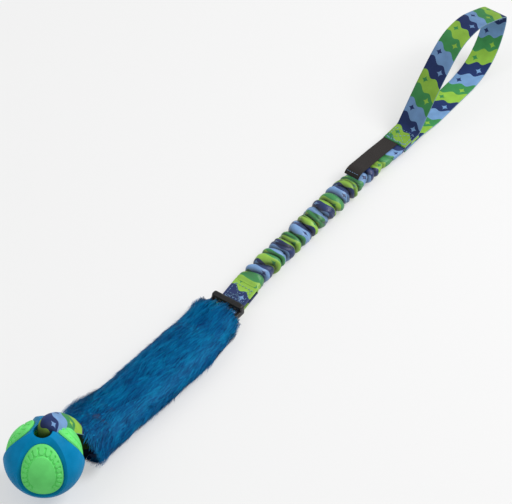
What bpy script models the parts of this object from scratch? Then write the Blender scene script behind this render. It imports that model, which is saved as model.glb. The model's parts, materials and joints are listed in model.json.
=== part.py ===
"""Bungee ball tug toy for dogs: a rubber ball on a webbing loop, a faux-fur sleeve, a three-bar
slide, a ruched bungee with an elastic inside, and a webbing hand loop.

Run with: blender --background --python part.py
Metres, +Z up. The toy lies on the ground plane z = 0, with +X from the ball to the hand loop.
The origin is at the centre of the bounding box's bottom.
"""
import bpy
import bmesh
from math import cos, sin, pi, radians, sqrt
from mathutils import Matrix, Vector

# Webbing and fits
WEB_WIDTH = 0.0250
WEB_THICK = 0.0016
GAP = 0.0003            # between pieces that touch
RUN_GAP = 0.0003        # between a bar and the webbing folded round it

# Ball
BALL_RADIUS = 0.0350
SHELL_WALL = 0.0050
PAD_RECESS = 0.0024     # from the outer surface down to the pads
PAD_WIDTH = 0.0344
PAD_HEIGHT = 0.0454
PAD_TILT = radians(69.5)         # from the channel's upper end to a pad's centre
PAD_COUNT = 3
FIRST_PAD_AZIMUTH = radians(213.5)
WINDOW_FLARE = 0.0025   # growth of a window's half width from its inner to its outer end
CHANNEL_RADIUS = 0.0075
CHANNEL_MOUTH_RADIUS = 0.0094
CHANNEL_MOUTH_DEPTH = 0.0050
CHANNEL_SLACK = 0.0005  # between the folded strap's corners and the channel
STRAP_UNDER_GAP = 0.0006         # between the strap's lower leg and the channel's rim

# Fur sleeve: half width and half height, pile included
MOUTH_GAP = 0.0090      # from the ball's surface to the sleeve's mouth, along X
SLEEVE_LENGTH = 0.1968
SLEEVE_MOUTH = (0.0285, 0.0190)
SLEEVE_BODY = (0.0284, 0.0134)
SLEEVE_SHOULDER = (0.0275, 0.0114)
SLEEVE_NECK = (0.0170, 0.0070)
SLEEVE_LEAN = 0.0055    # how far the pile hangs over to -Y, at most
MOUTH_WALL = 0.0038
BORE_SIDE = 0.0021      # from the webbing's edge to the bore
NECK_LENGTH = 0.0045
HEM_LENGTH = 0.0080
HEM_THICK = 0.0010
BINDING_THICK = 0.0011
BINDING_WIDTH = 0.0030
STRAP_Z = 0.0140        # height of the straps at the sleeve's mouth

# Ball strap and core strap
SWING_INSIDE = 0.0200   # from the mouth to the axis on which the ball's strap flexes
STRAP_LAP = 0.0200      # length of ball strap sewn on the core strap
LAP_START_INSIDE = 0.0360
LEG_GAP = 0.0007        # between the core strap's two plies

# Buckle
BAR_Z = 0.0075          # height of the two round bars
BAR_RADIUS = 0.0018
RAIL_WIDTH = 0.0040
RAIL_HALF_HEIGHT = 0.0026
RAIL_SIDE_GAP = 0.0005
FRONT_BAR_PITCH = 0.0084
FRONT_BAR_LENGTH = 0.0066
FRONT_BAR_HEIGHT = 0.0062
FRONT_BAR_RISE = 0.0016          # from the bars' plane to the front bar's underside
FRONT_BAR_ROUNDING = 0.0022
TOOTH_COUNT = 4
TOOTH_RADIUS = 0.0011
NECK_CLEARANCE = 0.0007

# Bungee
TAB_LENGTH = 0.0361     # from the middle bar to the ruched cover
ELASTIC_WIDTH = 0.0140
ELASTIC_THICK = 0.0021
ELASTIC_START = 0.0155  # from the middle bar
COVER_LENGTH = 0.1640
RUFFLE_COUNT = 25
RUFFLE_HALF_WIDTH = 0.0116
RUFFLE_HALF_HEIGHT = 0.0092
RUFFLE_DEPTH_SIDE = 0.0014
RUFFLE_DEPTH_TOP = 0.0020
RUFFLE_UNEVENNESS = 0.0005
REST_FLAT = 0.0004      # how deep the ruffles' crests are flat on the ground
BORE_MARGIN = 0.0012    # from the elastic to the cover's bore
FLAT_LENGTH = 0.0687    # from the ruched cover to the handle's folded end
FLAT_RUFFLES = 7        # ruffles that die out along the flat end
POCKET_LENGTH = 0.0480
POCKET_HALF_WIDTH = 0.0113       # where the last ruffles die out
END_HALF_HEIGHT = 0.0016

# Label
LABEL_WIDTH = 0.0160
LABEL_THICK = 0.0006
LABEL_SIDE = 0.0042     # how far the label's middle is off the cover's middle
LABEL_LENGTH = 0.0640

# Handle
SEAM_LENGTH = 0.0240
SEAM_Z = 0.0080
LOOP_LENGTH = 0.1455
LOOP_HEIGHT = 0.0755
LOOP_FLAT_SHARE = (0.62, 0.22)   # stretch of the loop's lower strap that lies on the ground
FLEX_BEFORE_FOLD = 0.0020        # from the handle's hinge axis to the folded end

# Stitching
THREAD = 0.0009
STITCH_THICK = 0.0004
TACK_LENGTH = 0.0030

# Stations along X, measured from the ball's centre
MOUTH_X = BALL_RADIUS + MOUTH_GAP
NECK_X = MOUTH_X + SLEEVE_LENGTH
LOWER_BAR_X = NECK_X + NECK_CLEARANCE + RAIL_HALF_HEIGHT
BAR_SPACING = 2 * (BAR_RADIUS + RUN_GAP + WEB_THICK) + 0.0004
MIDDLE_BAR_X = LOWER_BAR_X + BAR_SPACING
FRONT_BAR_X = MIDDLE_BAR_X + FRONT_BAR_PITCH
TAB_END_X = MIDDLE_BAR_X + TAB_LENGTH
COVER_X = TAB_END_X + GAP
FLAT_X = COVER_X + COVER_LENGTH + GAP
FOLD_X = FLAT_X - GAP + FLAT_LENGTH
JUNCTION_X = FOLD_X + SEAM_LENGTH
SWING_X = MOUTH_X + SWING_INSIDE
LAP_X = MOUTH_X + LAP_START_INSIDE
FLEX_X = FOLD_X - FLEX_BEFORE_FOLD

# Sizes and heights that follow from the others
FOLD_THICK = 2 * WEB_THICK + 0.0002
FOLD_WIDTH = 2 * sqrt((CHANNEL_RADIUS - CHANNEL_SLACK) ** 2 - (FOLD_THICK / 2) ** 2)
BALL_Z = sqrt(BALL_RADIUS ** 2 - CHANNEL_MOUTH_RADIUS ** 2) + FOLD_THICK + STRAP_UNDER_GAP
WRAP_RADIUS = BAR_RADIUS + RUN_GAP + WEB_THICK / 2
CORE_LEG = LEG_GAP / 2 + WEB_THICK / 2
LAP_LEG = CORE_LEG + WEB_THICK + GAP
TAB_LEG = ELASTIC_THICK / 2 + GAP + WEB_THICK / 2
TAB_HALF = TAB_LEG + WEB_THICK / 2
BUNGEE_Z = RUFFLE_HALF_HEIGHT - REST_FLAT
RAIL_INNER = WEB_WIDTH / 2 + RAIL_SIDE_GAP
HANDLE_PLY = END_HALF_HEIGHT + GAP + WEB_THICK / 2

RING_POINTS = 20
BOX_POWER = 6.0         # superellipse power of a flat tube's section
SOFT_POWER = 2.4        # the same of a stuffed or ruched one

COLOURS = {
    "shell_blue": (0.010, 0.265, 0.500),
    "pad_green": (0.150, 0.680, 0.160),
    "web_print": (0.080, 0.240, 0.420),
    "web_lime": (0.340, 0.640, 0.110),
    "fur_blue": (0.000, 0.115, 0.310),
    "backing": (0.000, 0.060, 0.180),
    "black_plastic": (0.012, 0.012, 0.013),
    "label_black": (0.016, 0.014, 0.014),
    "elastic_white": (0.720, 0.720, 0.690),
    "thread_blue": (0.200, 0.360, 0.600),
}
ROUGHNESS = {"black_plastic": 0.42, "shell_blue": 0.48, "pad_green": 0.45}


def clear_scene():
    for old in list(bpy.data.objects):
        bpy.data.objects.remove(old)


def make_collection(name):
    collection = bpy.data.collections.new(name)
    bpy.context.scene.collection.children.link(collection)
    return collection


clear_scene()
PARTS = make_collection("bungee_ball_tug_toy")
CUTTERS = make_collection("cutters")


def make_material(name):
    material = bpy.data.materials.new(name)
    material.use_nodes = True
    shader = material.node_tree.nodes["Principled BSDF"]
    shader.inputs["Base Color"].default_value = (*COLOURS[name], 1.0)
    shader.inputs["Roughness"].default_value = ROUGHNESS.get(name, 0.85)
    return material


MATERIALS = {name: make_material(name) for name in COLOURS}


def add_object(name, mesh, material, smooth=True):
    obj = bpy.data.objects.new(name, mesh)
    mesh.materials.clear()
    mesh.materials.append(MATERIALS[material])
    if smooth:
        mesh.shade_smooth()
        mesh.set_sharp_from_angle(angle=radians(35))
    PARTS.objects.link(obj)
    return obj


def as_cutter(obj):
    """Keep an object out of the part: it only cuts or joins another."""
    for collection in list(obj.users_collection):
        collection.objects.unlink(obj)
    CUTTERS.objects.link(obj)
    obj.hide_render = True
    obj.display_type = "WIRE"
    return obj


def mesh_from_bmesh(name, bm):
    bmesh.ops.recalc_face_normals(bm, faces=bm.faces[:])
    mesh = bpy.data.meshes.new(name)
    bm.to_mesh(mesh)
    bm.free()
    return mesh


def boolean(obj, operation, other):
    modifier = obj.modifiers.new(operation.lower() + "_" + other.name, "BOOLEAN")
    modifier.operation = operation
    modifier.solver = "EXACT"
    modifier.object = other


def smooth_path(points, steps):
    """Catmull-Rom curve through points of any number of coordinates."""
    padded = [tuple(2 * a - b for a, b in zip(points[0], points[1]))]
    padded += list(points)
    padded.append(tuple(2 * a - b for a, b in zip(points[-1], points[-2])))
    path = []
    for i in range(1, len(padded) - 2):
        before, start, end, after = padded[i - 1:i + 3]
        for step in range(steps):
            t = step / steps
            path.append(tuple(
                0.5 * (2 * b + (c - a) * t + (2 * a - 5 * b + 4 * c - d) * t * t
                       + (3 * b - a - 3 * c + d) * t ** 3)
                for a, b, c, d in zip(before, start, end, after)))
    path.append(tuple(points[-1]))
    return path


def arc(centre_x, centre_z, radius, start, end, count):
    """Points on an arc in the XZ plane, angles in degrees from +X towards +Z."""
    angles = [radians(start + (end - start) * i / count) for i in range(count + 1)]
    return [(centre_x + radius * cos(a), centre_z + radius * sin(a)) for a in angles]


def blend(table, x):
    """Read a table of (x, values...) rows at x, with straight lines between rows."""
    if x <= table[0][0]:
        return table[0][1:]
    for low, high in zip(table, table[1:]):
        if x <= high[0]:
            share = (x - low[0]) / (high[0] - low[0])
            return tuple(a + (b - a) * share for a, b in zip(low[1:], high[1:]))
    return table[-1][1:]


def loft(rings, closed):
    """Skin a list of equal rings. Closed joins the last ring to the first, else both ends are capped."""
    bm = bmesh.new()
    loops = [[bm.verts.new(point) for point in ring] for ring in rings]
    count = len(rings[0])
    pairs = list(zip(loops, loops[1:]))
    if closed:
        pairs.append((loops[-1], loops[0]))
    for low, high in pairs:
        for i in range(count):
            j = (i + 1) % count
            bm.faces.new((low[i], low[j], high[j], high[i]))
    if not closed:
        bm.faces.new(loops[0])
        bm.faces.new(loops[-1])
    return bm


def section(x, z, half_width, half_height, power, count=RING_POINTS, side=0.0):
    """A superellipse ring in the plane at x, its middle at side, kept above the ground."""
    ring = []
    for i in range(count):
        a = 2 * pi * (i + 0.5) / count
        y = half_width * abs(cos(a)) ** (2 / power) * (1 if cos(a) > 0 else -1)
        rise = half_height * abs(sin(a)) ** (2 / power) * (1 if sin(a) > 0 else -1)
        ring.append((x, y + side, max(z + rise, 0.0)))
    return ring


def tube(name, outer, inner, material):
    """A tube with open ends: rings along its outside, then back along its bore."""
    return add_object(name, mesh_from_bmesh(name, loft(outer + inner[::-1], True)), material)


def strap(name, path, width, thickness, material, side=0.0):
    """A flat strap: a line in the XZ plane, drawn out along Y and thickened on both sides."""
    curve = bpy.data.curves.new(name + "_line", "CURVE")
    curve.dimensions = "2D"
    curve.fill_mode = "NONE"
    curve.extrude = width / 2
    line = curve.splines.new("POLY")
    line.points.add(len(path) - 1)
    for point, (x, z) in zip(line.points, path):
        point.co = (x, z, 0.0, 1.0)
    drawn = bpy.data.objects.new(name + "_line", curve)
    PARTS.objects.link(drawn)
    bpy.context.view_layer.update()
    mesh = bpy.data.meshes.new_from_object(drawn.evaluated_get(bpy.context.evaluated_depsgraph_get()))
    bpy.data.objects.remove(drawn)
    mesh.transform(Matrix.Translation((0, side, 0)) @ Matrix.Rotation(pi / 2, 4, "X"))
    bm = bmesh.new()
    bm.from_mesh(mesh)
    bmesh.ops.remove_doubles(bm, verts=bm.verts[:], dist=0.00001)
    bm.to_mesh(mesh)
    bm.free()
    obj = add_object(name, mesh, material)
    solid = obj.modifiers.new("thickness", "SOLIDIFY")
    solid.thickness = thickness
    solid.offset = 0.0
    solid.use_even_offset = True
    return obj


def stitch_box(name, centre, slope, length, width, material):
    """A flat box of thread with a cross in it, laid on a strap that slopes by an angle about Y."""
    side_l, side_w = length / 2, width / 2
    outer = [(-side_l, -side_w), (side_l, -side_w), (side_l, side_w), (-side_l, side_w)]
    half_l = length / 2 - THREAD
    half_w = width / 2 - THREAD
    tip_l = half_l - half_l * 2 * THREAD / width * 1.2
    tip_w = half_w - half_w * 2 * THREAD / length * 1.2
    holes = [
        [(-tip_l + THREAD, -half_w), (tip_l - THREAD, -half_w), (0, -THREAD)],
        [(-tip_l + THREAD, half_w), (tip_l - THREAD, half_w), (0, THREAD)],
        [(-half_l, -tip_w + THREAD), (-half_l, tip_w - THREAD), (-THREAD, 0)],
        [(half_l, -tip_w + THREAD), (half_l, tip_w - THREAD), (THREAD, 0)],
    ]
    curve = bpy.data.curves.new(name, "CURVE")
    curve.dimensions = "2D"
    curve.fill_mode = "BOTH"
    curve.extrude = STITCH_THICK / 2
    for outline in [outer] + holes:
        line = curve.splines.new("POLY")
        line.points.add(len(outline) - 1)
        for point, (x, y) in zip(line.points, outline):
            point.co = (x, y, 0.0, 1.0)
        line.use_cyclic_u = True
    obj = bpy.data.objects.new(name, curve)
    curve.materials.append(MATERIALS[material])
    obj.location = centre
    obj.rotation_euler = (0.0, slope, 0.0)
    PARTS.objects.link(obj)
    weld = obj.modifiers.new("closed", "WELD")
    weld.merge_threshold = 0.00001
    return obj


def box(name, centre, size, material, bevel=0.0, slope=0.0):
    bm = bmesh.new()
    bmesh.ops.create_cube(bm, size=1.0)
    bmesh.ops.scale(bm, vec=size, verts=bm.verts[:])
    obj = add_object(name, mesh_from_bmesh(name, bm), material)
    obj.location = centre
    obj.rotation_euler = (0.0, slope, 0.0)
    if bevel:
        rounding = obj.modifiers.new("rounding", "BEVEL")
        rounding.width = bevel
        rounding.segments = 3
        rounding.limit_method = "ANGLE"
    return obj


def cylinder_y(name, centre, radius, length, material, sides=16):
    """A cylinder along Y."""
    bm = bmesh.new()
    bmesh.ops.create_cone(bm, cap_ends=True, segments=sides, radius1=radius, radius2=radius, depth=length)
    bmesh.ops.rotate(bm, matrix=Matrix.Rotation(pi / 2, 3, "X"), verts=bm.verts[:])
    obj = add_object(name, mesh_from_bmesh(name, bm), material)
    obj.location = centre
    return obj


def sphere(name, centre, radius, material, columns=36, rows=18):
    bm = bmesh.new()
    bmesh.ops.create_uvsphere(bm, u_segments=columns, v_segments=rows, radius=radius)
    obj = add_object(name, mesh_from_bmesh(name, bm), material)
    obj.location = centre
    return obj


def cone_along(name, centre, direction, near, far, wide, high, growth, sides=32):
    """An oval prism or cone along a direction, from a near to a far distance, its height towards +Z."""
    bm = bmesh.new()
    bmesh.ops.create_cone(bm, cap_ends=True, segments=sides, radius1=1.0, radius2=1.0, depth=far - near)
    for vert in bm.verts:
        grown = growth if vert.co.z > 0 else 0.0
        vert.co.x *= high + grown
        vert.co.y *= wide + grown
        vert.co.z += (near + far) / 2
    mesh = mesh_from_bmesh(name, bm)
    down = (direction.z * direction - Vector((0, 0, 1))).normalized()
    turn = Matrix((down, direction.cross(down), direction)).transposed()
    mesh.transform(turn.to_4x4())
    obj = add_object(name, mesh, "shell_blue")
    obj.location = centre
    return as_cutter(obj)


def ball_route():
    """The ball strap's middle line as (x, z, share folded), from the upper lap round the ball and back."""
    start, end = LAP_X, LAP_X + STRAP_LAP
    upper = [
        (end, STRAP_Z + LAP_LEG, 0.0),
        (start + 0.010, STRAP_Z + LAP_LEG, 0.0),
        (start - 0.002, STRAP_Z + LAP_LEG + 0.0003, 0.0),
        (SWING_X + 0.003, STRAP_Z + 0.0053, 0.0),
        (MOUTH_X + 0.012, STRAP_Z + 0.0078, 0.0),
        (MOUTH_X + 0.004, STRAP_Z + 0.0118, 0.0),
    ]
    over = ((-3, 0.0048, 0.0), (16, 0.0028, 0.0), (36, 0.0032, 0.1), (55, 0.0045, 0.35),
            (71, 0.0060, 0.75), (83, 0.0062, 1.0))
    for degrees, clearance, folded in over:
        reach = BALL_RADIUS + clearance
        upper.append((reach * cos(radians(degrees)), BALL_Z + reach * sin(radians(degrees)), folded))
    lip = BALL_Z + BALL_RADIUS
    channel = [(0.0006, lip + 0.0024, 1.0), (0.0, lip - 0.003, 1.0), (0.0, BALL_Z + 0.012, 1.0),
               (0.0, BALL_Z - 0.012, 1.0), (0.0, FOLD_THICK + 0.0050, 1.0)]
    floor = FOLD_THICK / 2
    lower = [
        (0.0016, floor + 0.0018, 1.0),
        (0.0060, floor + 0.0001, 1.0),
        (0.0120, floor, 0.95),
        (0.0200, floor + 0.0005, 0.5),
        (MOUTH_X - 0.014, floor + 0.0028, 0.0),
        (MOUTH_X - 0.003, STRAP_Z - 0.0056, 0.0),
        (MOUTH_X + 0.008, STRAP_Z - 0.0040, 0.0),
        (SWING_X, STRAP_Z - 0.0034, 0.0),
        (start - 0.002, STRAP_Z - LAP_LEG, 0.0),
        (start + 0.010, STRAP_Z - LAP_LEG, 0.0),
        (end, STRAP_Z - LAP_LEG, 0.0),
    ]
    return upper + channel + lower


def make_ball_strap():
    path = smooth_path(ball_route(), 3)
    corner = 0.0003
    rings = []
    for i, (x, z, folded) in enumerate(path):
        ahead, behind = path[min(i + 1, len(path) - 1)], path[max(i - 1, 0)]
        run = Vector((ahead[0] - behind[0], 0.0, ahead[1] - behind[1])).normalized()
        across = Vector((-run.z, 0.0, run.x))
        half_w = (WEB_WIDTH + (FOLD_WIDTH - WEB_WIDTH) * folded) / 2
        half_t = (WEB_THICK + (FOLD_THICK - WEB_THICK) * folded) / 2
        ring = []
        for sw, st in ((1, 1), (-1, 1), (-1, -1), (1, -1)):
            pair = [(sw * half_w, st * (half_t - corner)), (sw * (half_w - corner), st * half_t)]
            if sw * st < 0:
                pair.reverse()
            for y, t in pair:
                point = Vector((x, y, z)) + across * t
                ring.append((point.x, point.y, max(point.z, 0.0)))
        rings.append(ring)
    return add_object("ball_strap", mesh_from_bmesh("ball_strap", loft(rings, False)), "web_print")


def make_ball():
    centre = Vector((0.0, 0.0, BALL_Z))
    inner = BALL_RADIUS - SHELL_WALL
    shell = sphere("ball_shell", centre, BALL_RADIUS, "shell_blue")
    boolean(shell, "DIFFERENCE", as_cutter(sphere("shell_hollow", centre, inner, "shell_blue")))
    core = sphere("ball_core", centre, inner - GAP, "pad_green")
    for i in range(PAD_COUNT):
        azimuth = FIRST_PAD_AZIMUTH + 2 * pi * i / PAD_COUNT
        direction = Vector((sin(PAD_TILT) * cos(azimuth), sin(PAD_TILT) * sin(azimuth), cos(PAD_TILT)))
        window = cone_along(f"window_{i + 1}", centre, direction, inner / 2, BALL_RADIUS + 0.001,
                            PAD_WIDTH / 2 + GAP, PAD_HEIGHT / 2 + GAP, WINDOW_FLARE)
        boolean(shell, "DIFFERENCE", window)
        pad = cone_along(f"pad_{i + 1}", centre, direction, inner / 2, BALL_RADIUS + 0.001,
                         PAD_WIDTH / 2, PAD_HEIGHT / 2, 0.0)
        limit = as_cutter(sphere(f"pad_face_{i + 1}", centre, BALL_RADIUS - PAD_RECESS, "pad_green"))
        boolean(pad, "INTERSECT", limit)
        boolean(core, "UNION", pad)
    bore = channel_cutter(centre)
    boolean(core, "DIFFERENCE", bore)
    boolean(shell, "DIFFERENCE", bore)
    return shell, core


def channel_cutter(centre):
    """The strap channel with a flared mouth at each end, turned about Z."""
    reach = BALL_RADIUS + 0.002
    lip = sqrt(BALL_RADIUS ** 2 - CHANNEL_MOUTH_RADIUS ** 2)
    flare = (CHANNEL_MOUTH_RADIUS - CHANNEL_RADIUS) / CHANNEL_MOUTH_DEPTH
    outer = CHANNEL_MOUTH_RADIUS + flare * (reach - lip)
    profile = [(0.0, reach), (outer, reach), (CHANNEL_RADIUS, lip - CHANNEL_MOUTH_DEPTH),
               (CHANNEL_RADIUS, CHANNEL_MOUTH_DEPTH - lip), (outer, -reach), (0.0, -reach)]
    bm = bmesh.new()
    verts = [bm.verts.new((r, 0.0, z)) for r, z in profile]
    for low, high in zip(verts, verts[1:]):
        bm.edges.new((low, high))
    mesh = bpy.data.meshes.new("channel")
    bm.to_mesh(mesh)
    bm.free()
    obj = add_object("channel", mesh, "shell_blue")
    obj.location = centre
    turned = obj.modifiers.new("turned", "SCREW")
    turned.steps = 24
    turned.render_steps = 24
    turned.use_merge_vertices = True
    turned.merge_threshold = 0.00001
    return as_cutter(obj)


def make_sleeve():
    """Faux-fur tube with its hem, lying on the ground, and the binding round its neck."""
    neck_start = NECK_X - NECK_LENGTH
    mouth_w, mouth_h = SLEEVE_MOUTH
    body_w, body_h = SLEEVE_BODY
    shoulder_w, shoulder_h = SLEEVE_SHOULDER
    neck_w, neck_h = SLEEVE_NECK
    outside = [  # x, half width, half height, middle height, share of the lean
        (MOUTH_X, mouth_w, mouth_h, mouth_h, 0.20),
        (MOUTH_X + 0.020, mouth_w, mouth_h - 0.0016, mouth_h - 0.0016, 0.35),
        (MOUTH_X + 0.055, body_w, body_h + 0.0010, body_h + 0.0010, 0.50),
        (MOUTH_X + 0.110, body_w, body_h, body_h, 0.90),
        (neck_start - 0.022, shoulder_w, shoulder_h, shoulder_h - 0.0002, 1.0),
        (neck_start - 0.010, shoulder_w - 0.0010, shoulder_h - 0.0010, shoulder_h - 0.0016, 0.80),
        (neck_start - 0.004, shoulder_w - 0.0035, shoulder_h - 0.0024, BAR_Z + 0.0008, 0.50),
        (neck_start - 0.0004, neck_w + 0.0022, neck_h + 0.0012, BAR_Z, 0.10),
        (neck_start, neck_w, neck_h, BAR_Z, 0.0),
        (NECK_X, neck_w, neck_h, BAR_Z, 0.0),
    ]
    strap_half = WEB_WIDTH / 2
    bore_half = LAP_LEG + WEB_THICK / 2 + 0.0018
    neck_bore = WRAP_RADIUS + WEB_THICK / 2 + 0.0008
    mouth_z = mouth_h + 0.0002
    bore = [
        (MOUTH_X, mouth_w - MOUTH_WALL - 0.0020, mouth_h - MOUTH_WALL + 0.0008, mouth_z),
        (MOUTH_X + HEM_LENGTH + 0.002, mouth_w - MOUTH_WALL - 0.0030, mouth_h - MOUTH_WALL, mouth_z - 0.0008),
        (SWING_X, strap_half + BORE_SIDE + 0.0036, bore_half + 0.0050, STRAP_Z + 0.0022),
        (LAP_X + 0.002, strap_half + BORE_SIDE + 0.0005, bore_half + 0.0004, STRAP_Z),
        (LAP_X + STRAP_LAP + 0.010, strap_half + BORE_SIDE, bore_half, STRAP_Z),
        (neck_start - 0.012, strap_half + BORE_SIDE - 0.0003, neck_bore + 0.0006, BAR_Z),
        (NECK_X, strap_half + BORE_SIDE - 0.0006, neck_bore, BAR_Z),
    ]
    count = 24
    outer_rings = [section(x, z, a, b, 2.3, count, -SLEEVE_LEAN * lean) for x, a, b, z, lean in outside]
    bore_rings = [section(x, z, a, b, 4.0, count) for x, a, b, z in bore]
    sleeve = tube("fur_sleeve", outer_rings, bore_rings, "fur_blue")

    hem_start, hem_end = MOUTH_X + GAP, MOUTH_X + HEM_LENGTH
    hem_outer, hem_inner = [], []
    for x in (hem_start, hem_end):
        a, b, z = blend(bore, x)
        hem_outer.append(section(x, z, a - GAP, b - GAP, 4.0, count))
        hem_inner.append(section(x, z, a - GAP - HEM_THICK, b - GAP - HEM_THICK, 4.0, count))
    hem = tube("fur_hem", hem_outer, hem_inner, "backing")

    bound = [(neck_start + 0.0004 + BINDING_WIDTH * share, bulge)
             for share, bulge in ((0.0, 0.5), (0.25, 1.0), (0.75, 1.0), (1.0, 0.5))]
    binding_outer = [section(x, BAR_Z, neck_w + GAP + BINDING_THICK * bulge,
                             neck_h + GAP + BINDING_THICK * bulge, 2.3, count) for x, bulge in bound]
    binding_inner = [section(x, BAR_Z, neck_w + GAP, neck_h + GAP, 2.3, count)
                     for x in (bound[0][0], bound[-1][0])]
    binding = tube("neck_binding", binding_outer, binding_inner, "thread_blue")
    return sleeve, hem, binding


def make_core_strap():
    """Webbing folded round the buckle's lower bar, both plies running down to the ball strap."""
    spread = LOWER_BAR_X - 0.0042
    closed = LOWER_BAR_X - 0.0105
    level = LAP_X + STRAP_LAP + 0.010
    path = [(LAP_X, STRAP_Z + CORE_LEG), (level, STRAP_Z + CORE_LEG), (closed, BAR_Z + CORE_LEG),
            (spread, BAR_Z + WRAP_RADIUS - 0.0009)]
    path += arc(LOWER_BAR_X, BAR_Z, WRAP_RADIUS, 105, -105, 14)
    path += [(spread, BAR_Z - WRAP_RADIUS + 0.0009), (closed, BAR_Z - CORE_LEG), (level, STRAP_Z - CORE_LEG),
             (LAP_X, STRAP_Z - CORE_LEG)]
    core = strap("core_strap", path, WEB_WIDTH, WEB_THICK, "web_print")
    top = STRAP_Z + LAP_LEG + WEB_THICK / 2 + GAP + STITCH_THICK / 2
    tack = box("strap_bartack", (LAP_X + STRAP_LAP / 2, 0.0, top),
               (TACK_LENGTH, WEB_WIDTH * 0.8, STITCH_THICK), "thread_blue")
    return core, tack


def make_buckle():
    """Three-bar slide: two side rails, two round bars for the straps and a raised front bar with teeth."""
    rail_y = RAIL_INNER + RAIL_WIDTH / 2
    span = 2 * RAIL_INNER + RAIL_WIDTH
    front_end = FRONT_BAR_X + FRONT_BAR_LENGTH / 2 - 0.0010
    body = cylinder_y("buckle", (LOWER_BAR_X, 0.0, BAR_Z), BAR_RADIUS, span, "black_plastic")
    middle = cylinder_y("middle_bar", (MIDDLE_BAR_X, 0.0, BAR_Z), BAR_RADIUS, span, "black_plastic")
    pieces = [middle]
    for side in (-1, 1):
        end = cylinder_y(f"rail_end_{side}", (LOWER_BAR_X, side * rail_y, BAR_Z), RAIL_HALF_HEIGHT,
                         RAIL_WIDTH, "black_plastic", 20)
        rail = box(f"rail_{side}", ((LOWER_BAR_X + front_end) / 2, side * rail_y, BAR_Z),
                   (front_end - LOWER_BAR_X, RAIL_WIDTH, 2 * RAIL_HALF_HEIGHT), "black_plastic")
        pieces += [end, rail]
    front_z = BAR_Z + FRONT_BAR_RISE + FRONT_BAR_HEIGHT / 2
    front = box("front_bar", (FRONT_BAR_X, 0.0, front_z),
                (FRONT_BAR_LENGTH, 2 * (RAIL_INNER + RAIL_WIDTH), FRONT_BAR_HEIGHT), "black_plastic",
                bevel=FRONT_BAR_ROUNDING)
    pieces.append(front)
    pitch = WEB_WIDTH / TOOTH_COUNT
    for i in range(TOOTH_COUNT):
        y = (i - (TOOTH_COUNT - 1) / 2) * pitch
        place = (FRONT_BAR_X - FRONT_BAR_LENGTH / 2, y, front_z - 0.0002)
        pieces.append(cylinder_y(f"tooth_{i + 1}", place, TOOTH_RADIUS, pitch * 0.5, "black_plastic", 10))
    for piece in pieces:
        boolean(body, "UNION", as_cutter(piece))
    return body


def elastic_line(x):
    """Height of the elastic's middle line at x."""
    lead = MIDDLE_BAR_X + ELASTIC_START
    rows = [(lead, BAR_Z - 0.0031), (TAB_END_X, BUNGEE_Z + 0.0004), (TAB_END_X + 0.012, BUNGEE_Z),
            (FLAT_X, BUNGEE_Z), (FLAT_X + 0.020, SEAM_Z)]
    return blend(rows, x)[0]


def make_tab():
    """The cover's flat lower end, folded round the middle bar and passing under the front bar."""
    lead = MIDDLE_BAR_X + ELASTIC_START
    under = FRONT_BAR_X - FRONT_BAR_LENGTH / 2
    ceiling = BAR_Z + FRONT_BAR_RISE - GAP - WEB_THICK / 2
    path = [(TAB_END_X, elastic_line(TAB_END_X) + TAB_LEG), (lead, elastic_line(lead) + TAB_LEG),
            (FRONT_BAR_X + 0.0030, ceiling - 0.0011), (FRONT_BAR_X, ceiling - 0.0009),
            (under - 0.0003, ceiling)]
    path += arc(MIDDLE_BAR_X, BAR_Z, WRAP_RADIUS, 62, 275, 14)
    path += [(FRONT_BAR_X, BAR_Z - 0.0044), (lead, elastic_line(lead) - TAB_LEG),
             (TAB_END_X, elastic_line(TAB_END_X) - TAB_LEG)]
    tab = strap("bungee_tab", path, WEB_WIDTH, WEB_THICK, "web_print")

    run = TAB_END_X - lead
    slope = (elastic_line(lead) - elastic_line(TAB_END_X)) / run
    middle = (lead + TAB_END_X) / 2
    top = elastic_line(middle) + TAB_HALF + GAP + STITCH_THICK
    stitching = stitch_box("tab_stitching", (middle, 0.0, top), slope, run * 0.72, WEB_WIDTH * 0.76,
                           "thread_blue")
    return tab, stitching


def cover_size(x):
    """Half width, half height and ruffle share of the cover at x."""
    rows = [
        (COVER_X, WEB_WIDTH / 2 - 0.0002, TAB_HALF, 0.0),
        (COVER_X + 0.014, RUFFLE_HALF_WIDTH, RUFFLE_HALF_HEIGHT, 1.0),
        (FLAT_X + 0.006, RUFFLE_HALF_WIDTH, RUFFLE_HALF_HEIGHT, 1.0),
        (FLAT_X + 0.020, RUFFLE_HALF_WIDTH - 0.0004, RUFFLE_HALF_HEIGHT - 0.0032, 0.8),
        (FLAT_X + POCKET_LENGTH, POCKET_HALF_WIDTH, ELASTIC_THICK / 2 + BORE_MARGIN + 0.0006, 0.15),
        (FOLD_X - 0.006, WEB_WIDTH / 2, END_HALF_HEIGHT, 0.0),
    ]
    return blend(rows, x)


def cover_ring(x, index):
    """A ring of the ruched cover: even ones are crests, odd ones are the folds between them."""
    half_width, half_height, share = cover_size(x)
    uneven = RUFFLE_UNEVENNESS * sin(2.4 * index) * share
    power = SOFT_POWER + (BOX_POWER - SOFT_POWER) * (1 - share)
    if index % 2:
        half_width -= RUFFLE_DEPTH_SIDE * share
        half_height -= RUFFLE_DEPTH_TOP * share
    else:
        half_width += uneven
        half_height -= abs(uneven) * 0.5
    return section(x, elastic_line(x), half_width, half_height, power)


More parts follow.
